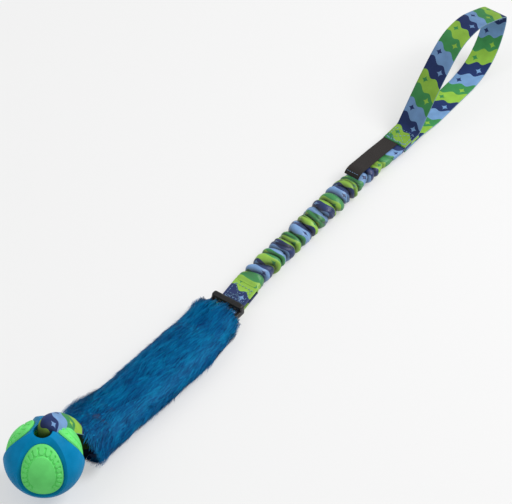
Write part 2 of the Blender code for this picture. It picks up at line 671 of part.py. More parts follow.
def make_cover():
    pitch = COVER_LENGTH / (2 * RUFFLE_COUNT)
    outside = [cover_ring(COVER_X + pitch * i, i) for i in range(2 * RUFFLE_COUNT + 1)]
    bore_wide = ELASTIC_WIDTH / 2 + BORE_MARGIN
    bore_high = ELASTIC_THICK / 2 + BORE_MARGIN
    stations = (COVER_X, TAB_END_X + 0.012, COVER_X + COVER_LENGTH)
    inside = [section(x, elastic_line(x), bore_wide, bore_high, BOX_POWER) for x in stations]
    return tube("bungee_cover", outside, inside, "web_print")


def make_elastic():
    start, end = MIDDLE_BAR_X + ELASTIC_START, FLAT_X + POCKET_LENGTH - 0.002
    stations = (start, TAB_END_X, TAB_END_X + 0.012, FLAT_X, FLAT_X + 0.020, end)
    elastic = strap("bungee_elastic", [(x, elastic_line(x)) for x in stations], ELASTIC_WIDTH, ELASTIC_THICK,
                    "elastic_white")
    run = TAB_END_X - start
    slope = (elastic_line(start) - elastic_line(TAB_END_X)) / run
    lower_x = start + run * 0.22
    under = elastic_line(lower_x) - TAB_HALF - GAP - STITCH_THICK
    lower = box("elastic_lower_tack", (lower_x, 0.0, under), (TACK_LENGTH, ELASTIC_WIDTH, STITCH_THICK),
                "thread_blue", slope=slope)
    upper_x = FLAT_X + POCKET_LENGTH - 0.006
    half_height = cover_size(upper_x)[1]
    upper = box("elastic_upper_tack", (upper_x, 0.0, SEAM_Z - half_height - GAP - STITCH_THICK),
                (TACK_LENGTH, ELASTIC_WIDTH, STITCH_THICK), "thread_blue")
    return elastic, lower, upper


def make_top_end():
    """The cover's flattened upper end, whose last stretch is sewn between the handle's plies."""
    pitch = (FOLD_X - 0.006 - FLAT_X) / (2 * FLAT_RUFFLES)
    rings = [cover_ring(FLAT_X + pitch * i, i) for i in range(2 * FLAT_RUFFLES + 1)]
    rings.append(section(JUNCTION_X - 0.001, SEAM_Z, WEB_WIDTH / 2, END_HALF_HEIGHT, BOX_POWER))
    end = add_object("bungee_top_end", mesh_from_bmesh("bungee_top_end", loft(rings, False)), "web_print")
    pocket_rings = [section(x, elastic_line(x), ELASTIC_WIDTH / 2 + GAP, ELASTIC_THICK / 2 + GAP, BOX_POWER)
                    for x in (FLAT_X - 0.002, FLAT_X, FLAT_X + 0.020, FLAT_X + POCKET_LENGTH)]
    pocket = add_object("pocket", mesh_from_bmesh("pocket", loft(pocket_rings, False)), "web_print")
    boolean(end, "DIFFERENCE", as_cutter(pocket))

    label_end = FOLD_X - GAP
    label_start = label_end - LABEL_LENGTH
    path = []
    for i in range(9):
        x = label_start + (label_end - label_start) * i / 8
        path.append((x, elastic_line(x) + cover_size(x)[1] + GAP + LABEL_THICK / 2))
    label = strap("woven_label", path, LABEL_WIDTH, LABEL_THICK, "label_black", side=LABEL_SIDE)
    rise = (path[1][1] - path[0][1]) / (path[1][0] - path[0][0])
    tack_z = path[0][1] + rise * TACK_LENGTH + LABEL_THICK / 2 + GAP + STITCH_THICK / 2
    tack = box("label_tack", (label_start + TACK_LENGTH, LABEL_SIDE, tack_z),
               (TACK_LENGTH / 2, LABEL_WIDTH * 0.8, STITCH_THICK), "thread_blue", slope=-rise)
    return end, label, tack


def loop_route():
    """The hand loop's middle line in the XZ plane, from the upper ply's folded end round to the lower one."""
    upper, lower, ground = SEAM_Z + HANDLE_PLY, SEAM_Z - HANDLE_PLY, WEB_THICK / 2
    shape = ((0.045, 0.25), (0.20, 0.555), (0.36, 0.825), (0.47, 0.955), (0.58, 0.995), (0.70, 0.975),
             (0.84, 0.875), (0.965, 0.765), (0.990, 0.69), (0.962, 0.49), (0.905, 0.29), (0.825, 0.14),
             (0.735, 0.055))
    rise = LOOP_HEIGHT - WEB_THICK / 2
    points = [(FOLD_X, upper), (JUNCTION_X - 0.008, upper), (JUNCTION_X - 0.001, upper + 0.0006)]
    points += [(JUNCTION_X + LOOP_LENGTH * u, rise * h) for u, h in shape]
    start, end = (JUNCTION_X + LOOP_LENGTH * share for share in LOOP_FLAT_SHARE)
    flat = [(start, ground), (end, ground)]
    tail = [(JUNCTION_X + 0.010, lower - 0.0012), (JUNCTION_X - 0.001, lower), (FOLD_X, lower)]
    return smooth_path(points + [flat[0]], 3) + smooth_path([flat[1]] + tail, 4)


def make_handle():
    handle = strap("handle_webbing", loop_route(), WEB_WIDTH, WEB_THICK, "web_lime")
    top = SEAM_Z + HANDLE_PLY + WEB_THICK / 2 + GAP + STITCH_THICK / 2
    length = SEAM_LENGTH - 0.0080
    stitching = stitch_box("handle_box_stitch", (FOLD_X + 0.0010 + length / 2, 0.0, top), 0.0, length,
                           WEB_WIDTH * 0.8, "thread_blue")
    return handle, stitching


def make_body(name, pivot, parent=None):
    """An empty on a body's joint axis, for the body's pieces to hang from."""
    empty = bpy.data.objects.new(name, None)
    empty.empty_display_size = 0.01
    empty.location = pivot
    PARTS.objects.link(empty)
    if parent:
        empty.parent = parent
        empty.matrix_parent_inverse = parent_place(parent).inverted()
    return empty


def parent_place(empty):
    """World place of an unturned empty whose own parents keep its world location."""
    return Matrix.Translation(empty.location)


def attach(empty, pieces):
    for piece in pieces:
        piece.parent = empty
        piece.matrix_parent_inverse = parent_place(empty).inverted()


def build():
    shell, core = make_ball()
    ball_strap = make_ball_strap()
    sleeve_pieces = make_sleeve() + make_core_strap()
    buckle = make_buckle()
    tab, tab_stitching = make_tab()
    cover = make_cover()
    elastic, lower_tack, upper_tack = make_elastic()
    top_end, label, label_tack = make_top_end()
    handle, handle_stitching = make_handle()

    reach = max(x for x, z in loop_route()) + WEB_THICK / 2
    shift = (BALL_RADIUS - reach) / 2
    sleeve_body = make_body("sleeve_body", (SWING_X, 0.0, STRAP_Z))
    loop_body = make_body("ball_loop_body", (SWING_X, 0.0, STRAP_Z), sleeve_body)
    ball_body = make_body("ball_body", (0.0, 0.0, BALL_Z), loop_body)
    buckle_body = make_body("buckle_body", (LOWER_BAR_X, 0.0, BAR_Z), sleeve_body)
    bungee_body = make_body("bungee_body", (MIDDLE_BAR_X, 0.0, BAR_Z), buckle_body)
    end_body = make_body("bungee_end_body", (FLAT_X, 0.0, BUNGEE_Z), bungee_body)
    handle_body = make_body("handle_body", (FLEX_X, 0.0, SEAM_Z), end_body)
    attach(sleeve_body, sleeve_pieces)
    attach(loop_body, (ball_strap,))
    attach(ball_body, (shell, core))
    attach(buckle_body, (buckle,))
    attach(bungee_body, (tab, tab_stitching, cover, elastic, lower_tack))
    attach(end_body, (upper_tack, top_end, label, label_tack))
    attach(handle_body, (handle, handle_stitching))

    for obj in PARTS.objects:
        if obj.parent is None:
            obj.location.x += shift
    for cutter in CUTTERS.objects:
        cutter.location.x += shift


build()
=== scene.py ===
"""Looks of the bungee ball tug toy: moulded ball, faux fur, printed webbing, ruched bungee and slide.

Toy coordinates are used throughout, in metres: x from the ball's centre towards the hand loop, z from the
ground.
"""
import json
from math import cos, pi, radians, sin, sqrt

import bpy
import numpy as np
from bpy.props import FloatProperty, FloatVectorProperty, IntProperty
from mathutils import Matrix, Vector


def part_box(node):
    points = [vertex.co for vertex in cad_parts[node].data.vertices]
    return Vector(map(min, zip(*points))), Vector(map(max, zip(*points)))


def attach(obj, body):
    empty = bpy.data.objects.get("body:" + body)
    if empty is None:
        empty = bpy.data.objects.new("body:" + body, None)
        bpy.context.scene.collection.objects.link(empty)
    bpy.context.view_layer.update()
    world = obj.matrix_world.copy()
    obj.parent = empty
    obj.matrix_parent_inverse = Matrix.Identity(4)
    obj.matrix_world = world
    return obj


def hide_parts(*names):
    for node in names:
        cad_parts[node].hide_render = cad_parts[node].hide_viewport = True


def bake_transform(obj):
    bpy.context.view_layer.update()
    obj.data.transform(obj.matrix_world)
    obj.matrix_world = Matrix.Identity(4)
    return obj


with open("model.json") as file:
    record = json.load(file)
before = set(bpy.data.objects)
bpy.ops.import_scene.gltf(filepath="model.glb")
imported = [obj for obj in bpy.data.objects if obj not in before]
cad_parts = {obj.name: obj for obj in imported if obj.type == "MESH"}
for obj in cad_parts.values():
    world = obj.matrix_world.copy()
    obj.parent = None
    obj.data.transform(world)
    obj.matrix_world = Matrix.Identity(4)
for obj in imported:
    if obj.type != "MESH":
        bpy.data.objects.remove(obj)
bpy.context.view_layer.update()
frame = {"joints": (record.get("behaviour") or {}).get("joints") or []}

bl_info = {
    "name": "Bungee Ball Tug Toy",
    "version": (1, 0, 0),
    "blender": (4, 5, 0),
    "location": "3D View > Sidebar > Tug Toy",
    "description": "Builds a ball, faux-fur sleeve, slide buckle, ruched bungee and printed webbing loop",
    "category": "Add Mesh",
}

PIVOT = {joint["name"]: Vector(joint["pos_m"]) for joint in frame["joints"] if "pos_m" in joint}
BALL = PIVOT["ball_spin"]
MM = 0.001

# Stations along the toy, as in the solids
SWING_X = PIVOT["ball_swing"].x - BALL.x
LOWER_BAR_X = PIVOT["strap_pivot"].x - BALL.x
MIDDLE_BAR_X = PIVOT["tab_pivot"].x - BALL.x
STRAP_Z = PIVOT["ball_swing"].z
BAR_Z = PIVOT["strap_pivot"].z
SEAM_Z = PIVOT["handle_flex"].z
MOUTH_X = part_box("fur_sleeve")[0].x - BALL.x
NECK_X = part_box("fur_sleeve")[1].x - BALL.x
LAP_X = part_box("core_strap")[0].x - BALL.x
COVER_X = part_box("bungee_cover")[0].x - BALL.x
FLAT_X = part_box("bungee_top_end")[0].x - BALL.x
FOLD_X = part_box("handle_webbing")[0].x - BALL.x
FRONT_BAR_X = MIDDLE_BAR_X + 8.4 * MM
LEAD_X = MIDDLE_BAR_X + 15.5 * MM
TAB_END_X = COVER_X - 0.3 * MM
JUNCTION_X = FOLD_X + 24 * MM
BUNGEE_Z = 8.8 * MM

THREAD_THICK = 0.5 * MM
UNDERSIDE_PAINTED_SHADE = 0.62  # painted shade: how much of its brightness webbing's lower face is painted with


def linear(code):
    """An sRGB hex colour as linear red, green and blue."""
    channels = [int(code[i:i + 2], 16) / 255 for i in (1, 3, 5)]
    return tuple(c / 12.92 if c <= 0.04045 else ((c + 0.055) / 1.055) ** 2.4 for c in channels)


def colour(label, text, code):
    """A colour property from its sRGB hex code."""
    return FloatVectorProperty(name=label, description=text, subtype="COLOR", size=3, min=0.0, max=1.0,
                               default=linear(code))


def length(label, text, value):
    """A length property, in metres."""
    return FloatProperty(name=label, description=text, default=value, min=0.0, unit="LENGTH", precision=4)


class TugToySizes(bpy.types.PropertyGroup):
    ball_radius: length("Ball radius", "Outer radius of the moulded ball", 35 * MM)
    pad_radius: length("Pad radius", "From the ball's centre to the green pads' border", 32.5 * MM)
    pad_half_width: length("Pad half width", "Half the width of an egg-shaped pad", 18.1 * MM)
    pad_half_height: length("Pad half height", "Half the height of an egg-shaped pad", 24.0 * MM)
    channel_radius: length("Channel radius", "Radius of the strap's channel through the ball", 7.5 * MM)
    pad_teeth: IntProperty(name="Pad teeth", description="Moulded teeth round each pad", default=22, min=6)
    web_width: length("Webbing width", "Width of the printed webbing", 25 * MM)
    web_thick: length("Webbing thickness", "Thickness of the printed webbing", 1.6 * MM)
    ruffles: IntProperty(name="Ruffles", description="Ruffles along the gathered cover", default=13, min=4)
    ruffle_depth: length("Ruffle depth", "From a ruffle's crest to the fold beside it", 4.2 * MM)
    hair_length: length("Hair length", "Length of the faux fur's guard hairs", 20 * MM)
    hair_width: length("Hair width", "Width of one drawn lock of hair", 0.5 * MM)
    hair_clumps: IntProperty(name="Clumps", description="Clumps of guard hairs on the sleeve", default=3000,
                             min=100)
    stitch_length: length("Stitch length", "Length of one visible stitch", 2.4 * MM)


class TugToyColours(bpy.types.PropertyGroup):
    shell_blue: colour("Shell blue", "Moulded rubber shell", "#008AC2")
    pad_green: colour("Pad green", "Moulded rubber pads", "#78F282")
    lime: colour("Lime", "Lime bands of the print", "#9CD04C")
    green: colour("Green", "Green bands of the print", "#459A58")
    light_blue: colour("Light blue", "Light blue bands of the print", "#7FA9DC")
    navy: colour("Navy", "Navy bands of the print", "#24386F")
    fur_light: colour("Fur light", "Lightest hairs", "#008FC4")
    fur_mid: colour("Fur middle", "Most of the hairs", "#0069A8")
    fur_dark: colour("Fur dark", "Hairs in the shade of a clump", "#00346C")
    black_acetal: colour("Buckle black", "Moulded buckle", "#161617")
    charcoal: colour("Label charcoal", "Woven label", "#2A2422")
    elastic_white: colour("Elastic white", "Braided elastic", "#E4E3DC")
    thread_blue: colour("Thread blue", "Sewing thread", "#8FB8DE")
    floor: colour("Floor", "Pale studio floor", "#F4F4F4")


# Tools for meshes


def deselect():
    """Leave nothing selected, so that an operator acts only on what is then taken."""
    bpy.ops.object.select_all(action="DESELECT")


def take(obj):
    """Make an object the only selected and the active one."""
    deselect()
    obj.select_set(True)
    bpy.context.view_layer.objects.active = obj


def read(items, key, width):
    """One property of many mesh items, as rows of numbers."""
    values = np.empty(len(items) * width, np.float64 if key == "co" else np.float32)
    items.foreach_get(key, values)
    return values.reshape(-1, width)


def close_up(obj):
    """Merge the seams of a shaped grid and turn its faces outwards."""
    take(obj)
    bpy.ops.object.mode_set(mode="EDIT")
    bpy.ops.mesh.select_all(action="SELECT")
    bpy.ops.mesh.remove_doubles(threshold=0.002 * MM)
    bpy.ops.mesh.dissolve_degenerate(threshold=0.001 * MM)
    bpy.ops.mesh.select_all(action="SELECT")
    bpy.ops.mesh.normals_make_consistent(inside=False)
    bpy.ops.object.mode_set(mode="OBJECT")


def smooth_up_to(obj, degrees):
    """Shade an object smooth, but for edges that turn by more than this."""
    take(obj)
    bpy.ops.object.shade_smooth_by_angle(angle=radians(degrees))


def skin(name, rows, columns, place, cloth=None, smooth=40):
    """A grid whose points are put where place(s, t) says, s and t from 0 to 1, in toy coordinates.
    cloth(s, t) gives the flat cloth's own coordinates in millimetres, kept as the UV map, and how open to the
    light the cloth is there, from 0 to 1, kept as a second UV map of painted shade that darkens its colour."""
    deselect()
    bpy.ops.mesh.primitive_grid_add(x_subdivisions=rows, y_subdivisions=columns, size=1.0)
    obj = bpy.context.object
    obj.name = obj.data.name = name
    mesh = obj.data
    flat = read(mesh.vertices, "co", 3) + 0.5
    points = np.stack(place(flat[:, 0], flat[:, 1]), axis=1)
    points[:, 0] += BALL.x
    mesh.vertices.foreach_set("co", points.ravel())
    if cloth:
        uv = read(mesh.uv_layers.active.data, "uv", 2)
        along, across, fold = cloth(uv[:, 0], uv[:, 1])
        layers = (mesh.uv_layers.active, mesh.uv_layers.new(name="fold"))
        for layer, pair in zip(layers, ((along, across), (fold, fold))):
            layer.data.foreach_set("uv", np.stack(pair, axis=1).astype(np.float32).ravel())
    mesh.update()
    close_up(obj)
    smooth_up_to(obj, smooth)
    return obj


def row_at(rows, s):
    """The rows of an array at shares s of its length, from 0 at the first to 1 at the last."""
    return rows[np.rint(s * (len(rows) - 1)).astype(int)]


def object_of(name, points, faces):
    """A smooth-shaded object of points in toy coordinates and faces."""
    points[:, 0] += BALL.x
    mesh = bpy.data.meshes.new(name)
    mesh.from_pydata(points.tolist(), [], faces)
    mesh.shade_smooth()
    obj = bpy.data.objects.new(name, mesh)
    bpy.context.scene.collection.objects.link(obj)
    return obj


def modify(obj, kind, **settings):
    """Add a modifier and apply it."""
    take(obj)
    modifier = obj.modifiers.new(kind.lower(), kind)
    for key, value in settings.items():
        setattr(modifier, key, value)
    bpy.ops.object.modifier_apply(modifier=modifier.name)
    return obj


def combine(obj, other, operation):
    """Join or cut an object with another, which is used up."""
    modify(obj, "BOOLEAN", operation=operation, solver="EXACT", object=other)
    bpy.data.objects.remove(other)


def join(objects, name):
    """Make several objects one."""
    deselect()
    for obj in objects:
        obj.select_set(True)
    bpy.context.view_layer.objects.active = objects[0]
    bpy.ops.object.join()
    objects[0].name = objects[0].data.name = name
    return objects[0]


def settle(obj):
    """Put an object's place, turn and size into its mesh."""
    take(obj)
    bpy.ops.object.transform_apply(location=True, rotation=True, scale=True)
    return obj


def smooth_line(points, steps):
    """Catmull-Rom curve through rows of any number of coordinates, as an array."""
    points = np.array(points, float)
    padded = np.vstack([2 * points[0] - points[1], points, 2 * points[-1] - points[-2]])
    t = np.arange(steps)[:, None] / steps
    runs = []
    for a, b, c, d in zip(padded, padded[1:], padded[2:], padded[3:]):
        runs.append(0.5 * (2 * b + (c - a) * t + (2 * a - 5 * b + 4 * c - d) * t ** 2
                           + (3 * b - a - 3 * c + d) * t ** 3))
    return np.vstack(runs + [points[-1:]])


def distances(points):
    """How far along a line each of its points is."""
    return np.concatenate([[0], np.cumsum(np.linalg.norm(np.diff(points, axis=0), axis=1))])


def line_at(points, reach, places):
    """A line's values at some distances along it; reach holds the distance of each of its points."""
    return np.stack([np.interp(places, reach, column) for column in points.T], axis=1)


def spread(points, count):
    """The same line with evenly spaced points, and the distance along it of each."""
    points = np.array(points, float)
    reach = distances(points[:, :2])
    along = np.linspace(0, reach[-1], count + 1)
    return line_at(points, reach, along), along


def arc(centre_x, centre_z, radius, start, end, count):
    """Points of an arc in the XZ plane, between two angles in degrees."""
    angles = np.radians(np.linspace(start, end, count + 1))
    return [(centre_x + radius * cos(a), centre_z + radius * sin(a)) for a in angles]


def step(low, high, value):
    """0 below low, 1 above high, smooth between."""
    x = np.clip((value - low) / (high - low), 0, 1)
    return x * x * (3 - 2 * x)


def ripple(u, v, seed, size):
    """Smooth, fixed unevenness, mostly from -1 to 1, its hills about size apart, in the units of u and v."""
    rng = np.random.default_rng(seed)
    total = np.zeros_like(u, float)
    for _ in range(7):
        angle, phase, scale = rng.uniform(0, 2 * pi), rng.uniform(0, 2 * pi), rng.uniform(0.6, 1.7)
        total += np.sin((u * cos(angle) + v * sin(angle)) * 2 * pi / (size * scale) + phase)
    return total / 4.2


def webbing(name, line, width, thick, print_start=0.0, turned=False, side=0.0, curl=None,
            step_length=1.2 * MM):
    """Webbing along a line in the XZ plane, with rounded selvedges. curl is the angle of a rolled section,
    whose edges turn towards the inner side, and its shift outwards. A curled line's third value is its share
    of that, the fourth its slope across and the fifth how open it is to the light, painted into its colour as
    shade; the lower face is painted darker too. turned runs the print the other way."""
    line, along = spread(line, max(int(spread(line, 400)[1][-1] / step_length), 12))
    half_t = thick / 2
    flat = width / 2 - half_t
    half = [(v, half_t) for v in np.linspace(-flat, flat, 15)]
    half += [(flat + half_t * sin(a), half_t * cos(a)) for a in np.linspace(0, pi, 6)[1:-1]]
    half = np.array(half)
    section = np.vstack([half, -half, half[:1]])
    rows = len(line) + 1
    run = np.gradient(line[:, :2], axis=0)
    run /= np.linalg.norm(run, axis=1)[:, None]

    def look_up(s):
        """Index along the line, with the first and last rows pinched shut."""
        row = np.rint(s * rows).astype(int) - 1
        return np.clip(row, 0, len(line) - 1), (row >= 0) & (row < len(line))

    def place(s, t):
        i, open_row = look_up(s)
        v, n = row_at(section, t).T
        n = np.where(open_row, n, 0.0)
        share = line[i, 2] if curl else np.zeros(len(i))
        bend = np.maximum(share, 1e-4) * curl[0] / width if curl else np.full(len(i), 1e-6)
        radius = 1 / bend
        y = np.where(share > 0, (radius + n) * np.sin(v * bend), v)
        out = np.where(share > 0, (radius + n) * np.cos(v * bend) - radius, n)
        if curl:
            out = out + share * curl[1] + line[i, 3] * v
        return line[i, 0] + run[i, 1] * out, y + side, line[i, 1] - run[i, 0] * out

    def cloth(s, t):
        i, _ = look_up(s)
        v, n = row_at(section, t).T
        # painted shade: the lower face, and a curled line where it is shut from the light, are painted darker
        light = np.where(n > -0.2 * half_t, 1.0, UNDERSIDE_PAINTED_SHADE) * (line[i, 4] if curl else 1.0)
        return along[i] / MM * (-1 if turned else 1) + print_start, v / MM, light

    return skin(name, rows, len(section) - 1, place, cloth)


def superellipse(angle, half_width, half_height, power):
    """A point of a rounded section: across, up."""
    c, s = np.cos(angle), np.sin(angle)
    return (half_width * np.sign(c) * np.abs(c) ** (2 / power),
            half_height * np.sign(s) * np.abs(s) ** (2 / power))


def table_at(rows, x):
    """Read a table of (x, values...) rows, with smooth runs between rows."""
    rows = np.array(rows)
    i = np.clip(np.searchsorted(rows[:, 0], x) - 1, 0, len(rows) - 2)
    share = step(rows[i, 0], rows[i + 1, 0], x)
    return [rows[i, k] + (rows[i + 1, k] - rows[i, k]) * share for k in range(1, rows.shape[1])]


def stitches(name, paths, size, spacing=1.35):
    """Short rounded stitches along paths of (x, y, z) points. One is modelled, and each is a copy of it."""
    deselect()
    bpy.ops.mesh.primitive_uv_sphere_add(segments=8, ring_count=6, radius=0.5)
    model = bpy.context.object
    base = read(model.data.vertices, "co", 3)[:, [2, 0, 1]] * np.array([size, THREAD_THICK, THREAD_THICK])
    faces = [tuple(polygon.vertices) for polygon in model.data.polygons]
    bpy.data.objects.remove(model)
    points, polygons = [], []
    for path in paths:
        path = np.array(path, float)
        reach = distances(path)
        count = max(int(reach[-1] / (size * spacing)), 1)
        for k in range(count):
            middle = (k + 0.5) / count * reach[-1]
            ends = np.clip([middle - size / 2, middle + size / 2], 0, reach[-1])
            centre, behind, ahead = line_at(path, reach, [middle, *ends])
            forward = (ahead - behind) / np.linalg.norm(ahead - behind)
            sideways = np.cross([0, 0, 1.0], forward)
            sideways /= np.linalg.norm(sideways)
            axes = np.stack([forward, sideways, np.cross(forward, sideways)])
            polygons += [tuple(v + len(points) * len(base) for v in face) for face in faces]
            points.append(centre + base @ axes)
    return object_of(name, np.vstack(points), polygons)


def box_and_cross(start, end, half, height):
    """Paths of a sewn box and its two diagonals, on cloth whose height at x is height(x)."""
    corners = [(x, y, height(x)) for x, y in ((start, -half), (end, -half), (end, half), (start, half))]
    return corners + corners[:1], corners[::2], corners[1::2]


# Materials

RIDGES = 0.314  # metres along an axis between the ridges of a wave texture at scale 1

# The webbing's print, in millimetres of flat cloth
BAND_WIDTH = 14.6
WAVE_HEIGHT, WAVE_LENGTH = 1.6, 13.0
WAVE_START = 0.9  # radians of the wave at the middle of the cloth
SELVEDGE = 12.3  # from the middle to the plain edge
STAR_ROWS = (-5.2, 5.6)  # across, from the middle
STAR_POINT = 0.6  # the power that draws a star's sides in between its points
STAR_REACH = 2.25  # half a star's length, 3.9 mm, to that power
RIB, WARP = 0.8, 0.9  # coarser than the real weave, so that it shows


def add(tree, kind, inputs, out=0, to=None, stops=(), **settings):
    """Add one node, link its output to another socket and return that output. Its inputs, by name or in
    order, are values or other nodes' outputs, and stops are those of a ramp."""
    node = tree.nodes.new("ShaderNode" + kind)
    for key, value in settings.items():
        setattr(node, key, value)
    for key, value in (inputs.items() if isinstance(inputs, dict) else enumerate(inputs)):
        if isinstance(value, bpy.types.NodeSocket):
            tree.links.new(value, node.inputs[key])
        else:
            node.inputs[key].default_value = value
    for _ in stops[2:]:
        node.color_ramp.elements.new(1.0)
    for k, (position, value) in enumerate(stops):
        node.color_ramp.elements[k].position = position
        node.color_ramp.elements[k].color = (*value, 1.0)
    if to:
        tree.links.new(node.outputs[out], to)
    return node.outputs[out]


def tint(shade, factor, lift=0.0):
    """A colour made darker or lighter."""
    return tuple(min(c * factor + lift, 1.0) for c in shade)


def new_material(name, **sockets):
    """A Principled material with constant values on its own sockets, with its node tree and its shader's
    inputs."""
    material = bpy.data.materials.new(name)
    material.use_nodes = True
    shader = material.node_tree.nodes["Principled BSDF"].inputs
    for key, value in sockets.items():
        shader[key.replace("_", " ")].default_value = value
    return material, material.node_tree, shader


def dress(obj, material, body, slot, *nodes):
    """Give a piece its material and body, and hide the CAD nodes that it stands for. Its record slot is not
    used.
    """
    obj.data.materials.clear()
    obj.data.materials.append(material)
    if body:
        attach(obj, body)
    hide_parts(*nodes)


def rubber_material(name, shade, roughness):
    """Thermoplastic rubber, injection moulded: matt, with a faint broad gleam over a fine spark-eroded
    grain."""
    material, tree, shader = new_material(name, Roughness=roughness, IOR=1.5, Specular_IOR_Level=0.05)
    place = add(tree, "TexCoord", (), "Object")
    cloud = add(tree, "TexNoise", {"Vector": place, "Scale": 1 / (14 * MM), "Detail": 3.0}, "Fac")
    add(tree, "ValToRGB", {"Fac": cloud}, to=shader["Base Color"],
        stops=[(0.3, tint(shade, 0.86)), (0.7, tint(shade, 1.08, 0.004))])
    dust = add(tree, "TexNoise", {"Vector": place, "Scale": 1 / (3 * MM), "Detail": 4.0}, "Fac")
    add(tree, "MapRange", (dust, 0.35, 0.7, roughness - 0.05, roughness + 0.08), to=shader["Roughness"])
    grain = add(tree, "TexNoise", {"Vector": place, "Scale": 1 / (0.35 * MM), "Detail": 2.0}, "Fac")
    add(tree, "Bump", {"Height": grain, "Strength": 0.25, "Distance": 0.05 * MM}, to=shader["Normal"])
    return material


def print_material(name, colours, slant, reverse=False, edge=True, gloss=0.62, shine=0.2):
    """Polyester ribbon webbing, dye-sublimation printed: wavy bands of four colours under a fine rib weave.
    The UV map is the flat cloth in millimetres, along and across, and the second UV map holds painted shade,
    which darkens the print in creases, on the lower face and where the strap runs inside the ball."""
    material, tree, shader = new_material(name, Roughness=gloss, Specular_IOR_Level=shine)
    cloth = add(tree, "TexCoord", (), "UV")
    along, across = [add(tree, "SeparateXYZ", (cloth,), axis) for axis in "XY"]
    # a wave across the 25 mm width, on a slant
    turn = add(tree, "Math", (across, 2 * pi / WAVE_LENGTH, WAVE_START), operation="MULTIPLY_ADD")
    swing = add(tree, "Math", (turn,), operation="SINE")
    slanted = add(tree, "Math", (across, slant, along), operation="MULTIPLY_ADD")
    waved = add(tree, "Math", (swing, WAVE_HEIGHT, slanted), operation="MULTIPLY_ADD")
    band = add(tree, "Math", (waved, BAND_WIDTH), operation="DIVIDE")
    lime, navy, light_blue, green = colours.lime, colours.navy, colours.light_blue, colours.green
    palettes = [[lime, navy, light_blue, green], [lime, light_blue, light_blue, lime],
                [green, navy, navy, green]]
    if reverse:
        palettes = [palette[:1] + palette[:0:-1] for palette in palettes]

    def by_band(place, palette):
        """The palette's colour at a place, in bands from the start of the first colour."""
        cycle = add(tree, "Math", (place, 0.25), operation="MULTIPLY")
        cycle = add(tree, "Math", (cycle,), operation="FRACT")
        ramp = add(tree, "ValToRGB", (cycle,), stops=[(k / 4, shade) for k, shade in enumerate(palette)])
        ramp.node.color_ramp.interpolation = "CONSTANT"
        return ramp

    printed = by_band(band, palettes[0])
    # small four-pointed stars in two rows, each row on every other band
    for row, palette in zip(STAR_ROWS, palettes[1:]):
        wave_there = row * slant + WAVE_HEIGHT * sin(row * 2 * pi / WAVE_LENGTH + WAVE_START)
        level = add(tree, "Math", (along, wave_there), operation="ADD")
        spot = add(tree, "Math", (level, BAND_WIDTH), operation="DIVIDE")
        ahead, aside = spot, across
        for operation, value in (("FRACT", 0.0), ("SUBTRACT", 0.5), ("ABSOLUTE", 0.0),
                                 ("MULTIPLY", BAND_WIDTH), ("POWER", STAR_POINT)):
            ahead = add(tree, "Math", (ahead, value), operation=operation)
        for operation, value in (("SUBTRACT", row), ("ABSOLUTE", 0.0), ("POWER", STAR_POINT)):
            aside = add(tree, "Math", (aside, value), operation=operation)
        reach = add(tree, "Math", (ahead, aside), operation="ADD")
        mark = add(tree, "Math", (reach, STAR_REACH), operation="LESS_THAN")
        printed = add(tree, "Mix", {"Factor": mark, 6: printed, 7: by_band(spot, palette)}, 2,
                      data_type="RGBA")
    if edge:
        aside = add(tree, "Math", (across,), operation="ABSOLUTE")
        rim = add(tree, "Math", (aside, SELVEDGE), operation="GREATER_THAN")
        printed = add(tree, "Mix", {"Factor": rim, 6: printed, 7: (*linear("#8FB4C8"), 1.0)}, 2,
                      data_type="RGBA")
    wear = add(tree, "TexNoise", {"Vector": add(tree, "TexCoord", (), "Object"), "Scale": 1 / (9 * MM),
                                  "Detail": 4.0}, "Fac")
    faded = add(tree, "MapRange", (wear, 0.3, 0.7, 0.86, 1.06))
    # painted shade from the second UV map, multiplied with the wear's random tone into the print
    fold = add(tree, "SeparateXYZ", (add(tree, "UVMap", (), uv_map="fold"),), "X")
    folded = add(tree, "MapRange", (fold, 0.0, 1.0, 0.12, 1.0))
    shade = add(tree, "Math", (faded, folded), operation="MULTIPLY")
    add(tree, "VectorMath", {0: printed, "Scale": shade}, to=shader["Base Color"], operation="SCALE")
    ridges = []
    for place, pitch in ((along, RIB), (across, WARP)):
        turn = add(tree, "Math", (place, 2 * pi / pitch), operation="MULTIPLY")
        ridges.append(add(tree, "Math", (turn,), operation="SINE"))
    weave = add(tree, "Math", ridges, operation="MULTIPLY")
    add(tree, "Bump", {"Height": weave, "Strength": 0.3, "Distance": 0.06 * MM}, to=shader["Normal"])
    return material


def hair_material(colours):
    """Acrylic pile, knitted and brushed: hairs that differ in colour at random, with painted shade that makes
    them darker towards the root, and a faint gleam. The UV map holds the place along a hair and the hair's
    tone, which carries painted shade in clefts and at the mouth too."""
    material, tree, shader = new_material("acrylic_pile", Roughness=0.5, Specular_IOR_Level=0.08)
    hair = add(tree, "TexCoord", (), "UV")
    along, across = [add(tree, "SeparateXYZ", (hair,), axis) for axis in "XY"]
    tone = add(tree, "ValToRGB", (across,),
               stops=[(0.0, colours.fur_dark), (0.5, colours.fur_mid), (1.0, colours.fur_light)])
    # painted shade: each hair is painted darker towards its root, where shade falls deep in the pile
    depth = add(tree, "MapRange", (along, 0.0, 0.6, 0.5, 1.0))
    add(tree, "VectorMath", {0: tone, "Scale": depth}, to=shader["Base Color"], operation="SCALE")
    return material


